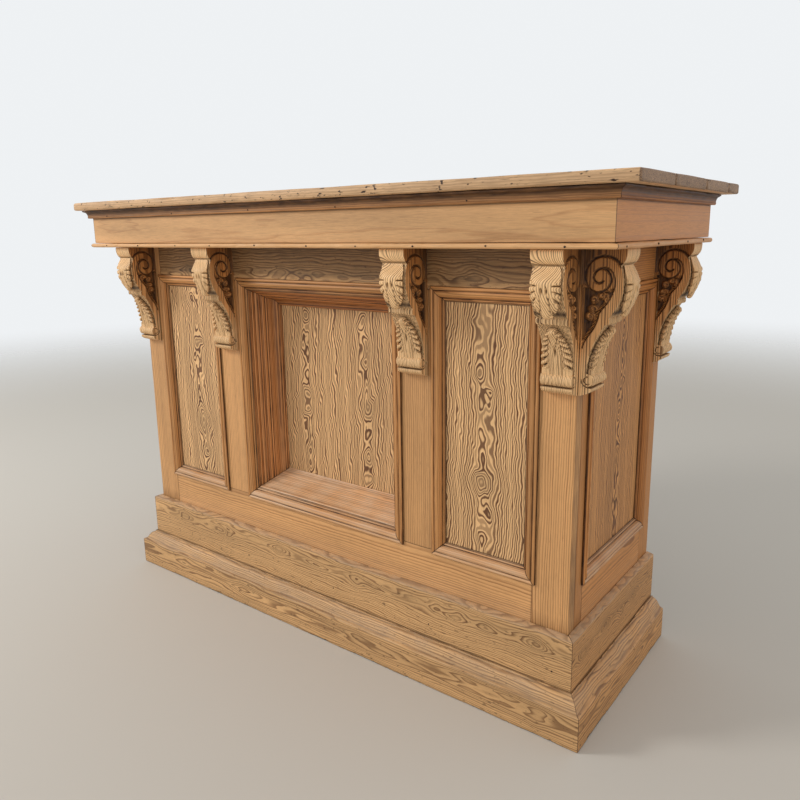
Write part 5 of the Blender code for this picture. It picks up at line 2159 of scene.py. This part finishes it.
    def draft(self, place: CorbelPlace, seed: int) -> Draft:
        """Join the core and both leaves, and set them where the corbel stands.

        Args:
            place: Where it stands.
            seed: Picks the wood.

        Returns:
            The corbel's mesh and marks.
        """
        across = np.cross(UP, place.out)
        middle = place.foot + UP * self.height / 2 + place.out * self.reach / 2
        pick = np.random.RandomState(seed)
        pith = pick.uniform(0.030, 0.055) * pick.choice((-1, 1))
        log = Log(UP, across, seed, pith, 0.010, pick.uniform(-0.1, 0.3))
        shells = [self.core(place)]
        for hanging in (True, False):
            points, dirt = self.leaf(hanging)
            shells.append((points, dirt, 0 * dirt, 0 * dirt + 0.5))
        drafts = []
        for points, dirt, stain, tone in shells:
            where = place.foot + points @ np.stack((across, place.out, UP))
            where = where + waves(where, 0.02, seed)[..., None] * 0.00015 * place.out
            flat = where.reshape(-1, 3)
            marks = {"dirt": dirt.ravel(), "stain": stain.ravel(), "tone": (tone + log.tone).ravel()}
            drafts.append(Draft(flat, loop_faces(*dirt.shape), log.place(flat, middle), marks).outward())
        return joined(drafts)


@dataclass
class Corbels:
    """The eight corbels: four on the front and two on each end."""

    shop: Workshop
    corbel: Corbel = field(default_factory=Corbel)
    clearance: float = 0.0008

    def build(self) -> None:
        """Set each corbel in the place of its solid."""
        for index, place in enumerate(self.places()):
            draft = self.corbel.draft(place, 400 + index)
            draft.to_object(f"{place.node}_carving", self.shop.finish("carving"), "carving", [place.node], 50)

    def places(self) -> list[CorbelPlace]:
        """Work out where the corbels stand from the boxes of their solids.

        Returns:
            The four places on the front, then two on each end.
        """
        found = []
        for name in ("left_corner", "left", "right", "right_corner"):
            node = f"corbel_front_{name}"
            low, high = corners(node)
            found.append(CorbelPlace(node, np.array(((low[0] + high[0]) / 2, high[1], low[2])), FORWARD))
        for end, direction in ENDS:
            frame_low, frame_high = corners(f"moulding_side_{end}")
            for name in ("front", "back"):
                node = f"corbel_{end}_{name}"
                low, high = corners(node)
                wall = low[0] if direction is RIGHT else high[0]
                foot = np.array((wall, (low[1] + high[1]) / 2, low[2]))
                overlap = high[1] - frame_low[1] if name == "front" else frame_high[1] - low[1]
                side = direction[0] if name == "front" else -direction[0]
                top = frame_high[2] - low[2] + self.clearance
                found.append(CorbelPlace(node, foot, direction, side * (overlap + self.clearance), top))
        return found


@dataclass
class Nails:
    """Nail heads along the round-nosed soffit, the bed mould, the top rail and the plinth."""

    shop: Workshop
    radius: float = 0.0017
    pitch: float = 0.147
    first: float = -0.66
    spread: float = 0.02
    plinth_height: float = 0.128

    def build(self) -> None:
        """Set a small domed head at each place, and join them all."""
        pick = np.random.RandomState(900)
        drafts = []
        for place, out in self.places(pick):
            shift = pick.normal(0, 0.0006, 3) * (1 - np.abs(out))
            drafts.append(self.head(place + shift, out, pick.uniform(0.8, 1.2)))
        joined(drafts).to_object("nail_heads", self.shop.finish("nails"), "frame", [])

    def places(self, pick: np.random.RandomState) -> list[tuple[Array, Array]]:
        """Space the heads unevenly along each member.

        Args:
            pick: Draws the uneven steps.

        Returns:
            Places of the heads and the ways they face.
        """
        found = []
        for stem, share, spacing, sunk in (("soffit", 0.5, 1.0, 0.0), ("bed_mould", 0.25, 1.9, 0.0090)):
            low, high = corners(f"{stem}_front")
            height = low[2] + (high[2] - low[2]) * share
            for x in np.arange(self.first, 0.01 - self.first, self.pitch * spacing):
                place = (x + pick.uniform(-self.spread, self.spread), low[1] + sunk, height)
                found.append((np.array(place), FORWARD))
            for _, direction in ENDS if stem == "soffit" else ():
                for y in np.arange(low[1] + 0.05, corners("soffit_left")[1][1] - 0.03, self.pitch):
                    place = (direction[0] * high[0], y + pick.uniform(-self.spread, self.spread), height)
                    found.append((np.array(place), direction))
        front = corners("front_top_rail")[0][1]
        for x, z in ((-0.120, 0.854), (0.090, 0.852), (0.330, 0.855), (0.470, 0.853), (-0.360, 0.855)):
            found.append((np.array((x, front, z)), FORWARD))
        upper = corners("plinth_upper_front")[0][1]
        for x in (-0.55, -0.25, 0.05, 0.33, 0.62):
            found.append((np.array((x, upper, self.plinth_height)), FORWARD))
        return found

    def head(self, place: Array, out: Array, scale: float) -> Draft:
        """One head: rings of eight points whose radius falls as they rise to the crown.

        Args:
            place: Its middle, on the wood.
            out: The way it faces.
            scale: Its size as a share of the usual one.

        Returns:
            The head's mesh.
        """
        turn = np.arange(8) * math.tau / 8
        circle = np.cos(turn)[:, None] * np.cross(UP, out) + np.sin(turn)[:, None] * UP
        rings = [
            place + out * lift + circle * self.radius * scale * share
            for lift, share in ((-0.0016, 1.0), (0.0001, 1.0), (0.0004, 0.75), (0.0005, 0.3))
        ]
        points = np.concatenate(rings)
        return Draft(points, loop_faces(len(rings), 8), np.zeros_like(points)).outward()


@dataclass(frozen=True)
class Shot:
    """The camera of the photograph, solved from the counter's own corners."""

    place: tuple[float, float, float] = (1.1398, -1.3489, 0.964)
    lens: float = 32.02
    shift_x: float = -0.0055
    shift_y: float = -0.01975
    right: tuple[float, float, float] = (0.7991, 0.6011, -0.0138)
    down: tuple[float, float, float] = (0.116, -0.1766, -0.9774)
    ahead: tuple[float, float, float] = (-0.59, 0.7794, -0.2108)

    def build(self) -> None:
        """Make the camera and give it to the scene."""
        data = bpy.data.cameras.new("camera")
        data.lens = self.lens
        data.sensor_width = 36.0
        data.shift_x = self.shift_x
        data.shift_y = self.shift_y
        camera = bpy.data.objects.new("camera", data)
        bpy.context.scene.collection.objects.link(camera)
        turn = Matrix((self.right, [-v for v in self.down], [-v for v in self.ahead])).transposed()
        camera.matrix_world = Matrix.Translation(self.place) @ turn.to_4x4()
        bpy.context.scene.camera = camera


@dataclass
class Studio:
    """Pale floor, white surroundings and soft light.

    The surroundings light the object half warmly and half white.
    """

    floor_size: float = 16.0
    floor_fade: tuple[float, float] = (2.6, 7.0)
    white_share: float = 0.5

    def build(self) -> None:
        """Make the floor, the world and the lamps."""
        bpy.context.scene.view_settings.view_transform = "Standard"
        self.floor()
        self.world()
        self.lamp("key", (-3.2, -2.8, 2.8), 1.1, 94.0, (1.0, 0.985, 0.96))
        self.lamp("fill", (3.6, -1.6, 2.2), 2.6, 12.0, (1.0, 0.82, 0.62))

    def floor(self) -> None:
        """Lay a large pale plane that fades out away from the counter."""
        mesh = bpy.data.meshes.new("floor")
        half = self.floor_size / 2
        square = [(-half, -half, 0), (half, -half, 0), (half, half, 0), (-half, half, 0)]
        mesh.from_pydata(square, [], [(0, 1, 2, 3)])
        material = bpy.data.materials.new("floor")
        s = Sketch(material)
        away = s.add("ShaderNodeVectorMath", operation="LENGTH")
        s.join(away.inputs[0], s.add("ShaderNodeTexCoord").outputs["Object"])
        mixed = s.add("ShaderNodeMixShader")
        s.join(mixed.inputs[0], s.step(away.outputs["Value"], *self.floor_fade))
        s.join(mixed.inputs[1], s.principled(linear(206, 201, 192), 0.85).outputs[0])
        s.join(mixed.inputs[2], s.add("ShaderNodeBsdfTransparent").outputs[0])
        s.end(mixed)
        mesh.materials.append(material)
        plane = bpy.data.objects.new("floor", mesh)
        bpy.context.scene.collection.objects.link(plane)

    def world(self) -> None:
        """Mix warm and white light, with white alone where a camera, gloss or clear ray looks out."""
        world = bpy.data.worlds.new("room")
        bpy.context.scene.world = world
        s = Sketch(world)
        path = s.add("ShaderNodeLightPath")
        white = self.white_share
        for kind in ("Is Camera Ray", "Is Glossy Ray", "Is Transmission Ray"):
            white = s.math("MAXIMUM", path.outputs[kind], white)
        mixed = s.add("ShaderNodeMixShader")
        s.join(mixed.inputs[0], white)
        for slot, colour, strength in ((1, (1.0, 0.965, 0.92), 0.38), (2, (0.955, 0.98, 1.0), 0.90)):
            light = s.add("ShaderNodeBackground")
            light.inputs["Color"].default_value = (*colour, 1.0)
            light.inputs["Strength"].default_value = strength
            s.join(mixed.inputs[slot], light.outputs[0])
        s.end(mixed, "ShaderNodeOutputWorld")

    def lamp(self, name: str, place: Point, size: float, power: float, colour: Point) -> None:
        """Add a square lamp that faces the middle of the counter.

        Args:
            name: Its name.
            place: Its position.
            size: Its side in metres.
            power: Its power in watts.
            colour: Its colour.
        """
        data = bpy.data.lights.new(name, "AREA")
        data.size = size
        data.energy = power
        data.color = colour
        lamp = bpy.data.objects.new(name, data)
        bpy.context.scene.collection.objects.link(lamp)
        lamp.location = place
        aim = Vector((0.0, 0.0, 0.6)) - Vector(place)
        lamp.rotation_euler = aim.to_track_quat("-Z", "Y").to_euler()


def main() -> None:
    """Build the counter's pieces, the camera and the studio in order."""
    logging.basicConfig(level=logging.INFO, format="%(message)s")
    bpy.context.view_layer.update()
    Shot().build()
    Studio().build()
    shop = Workshop()
    for kind in (Worktop, Carcase, Panels, Mouldings, Reveal, Canopy, Plinth, Corbels, Inside, Nails):
        kind(shop).build()


if __name__ == "__main__":
    main()
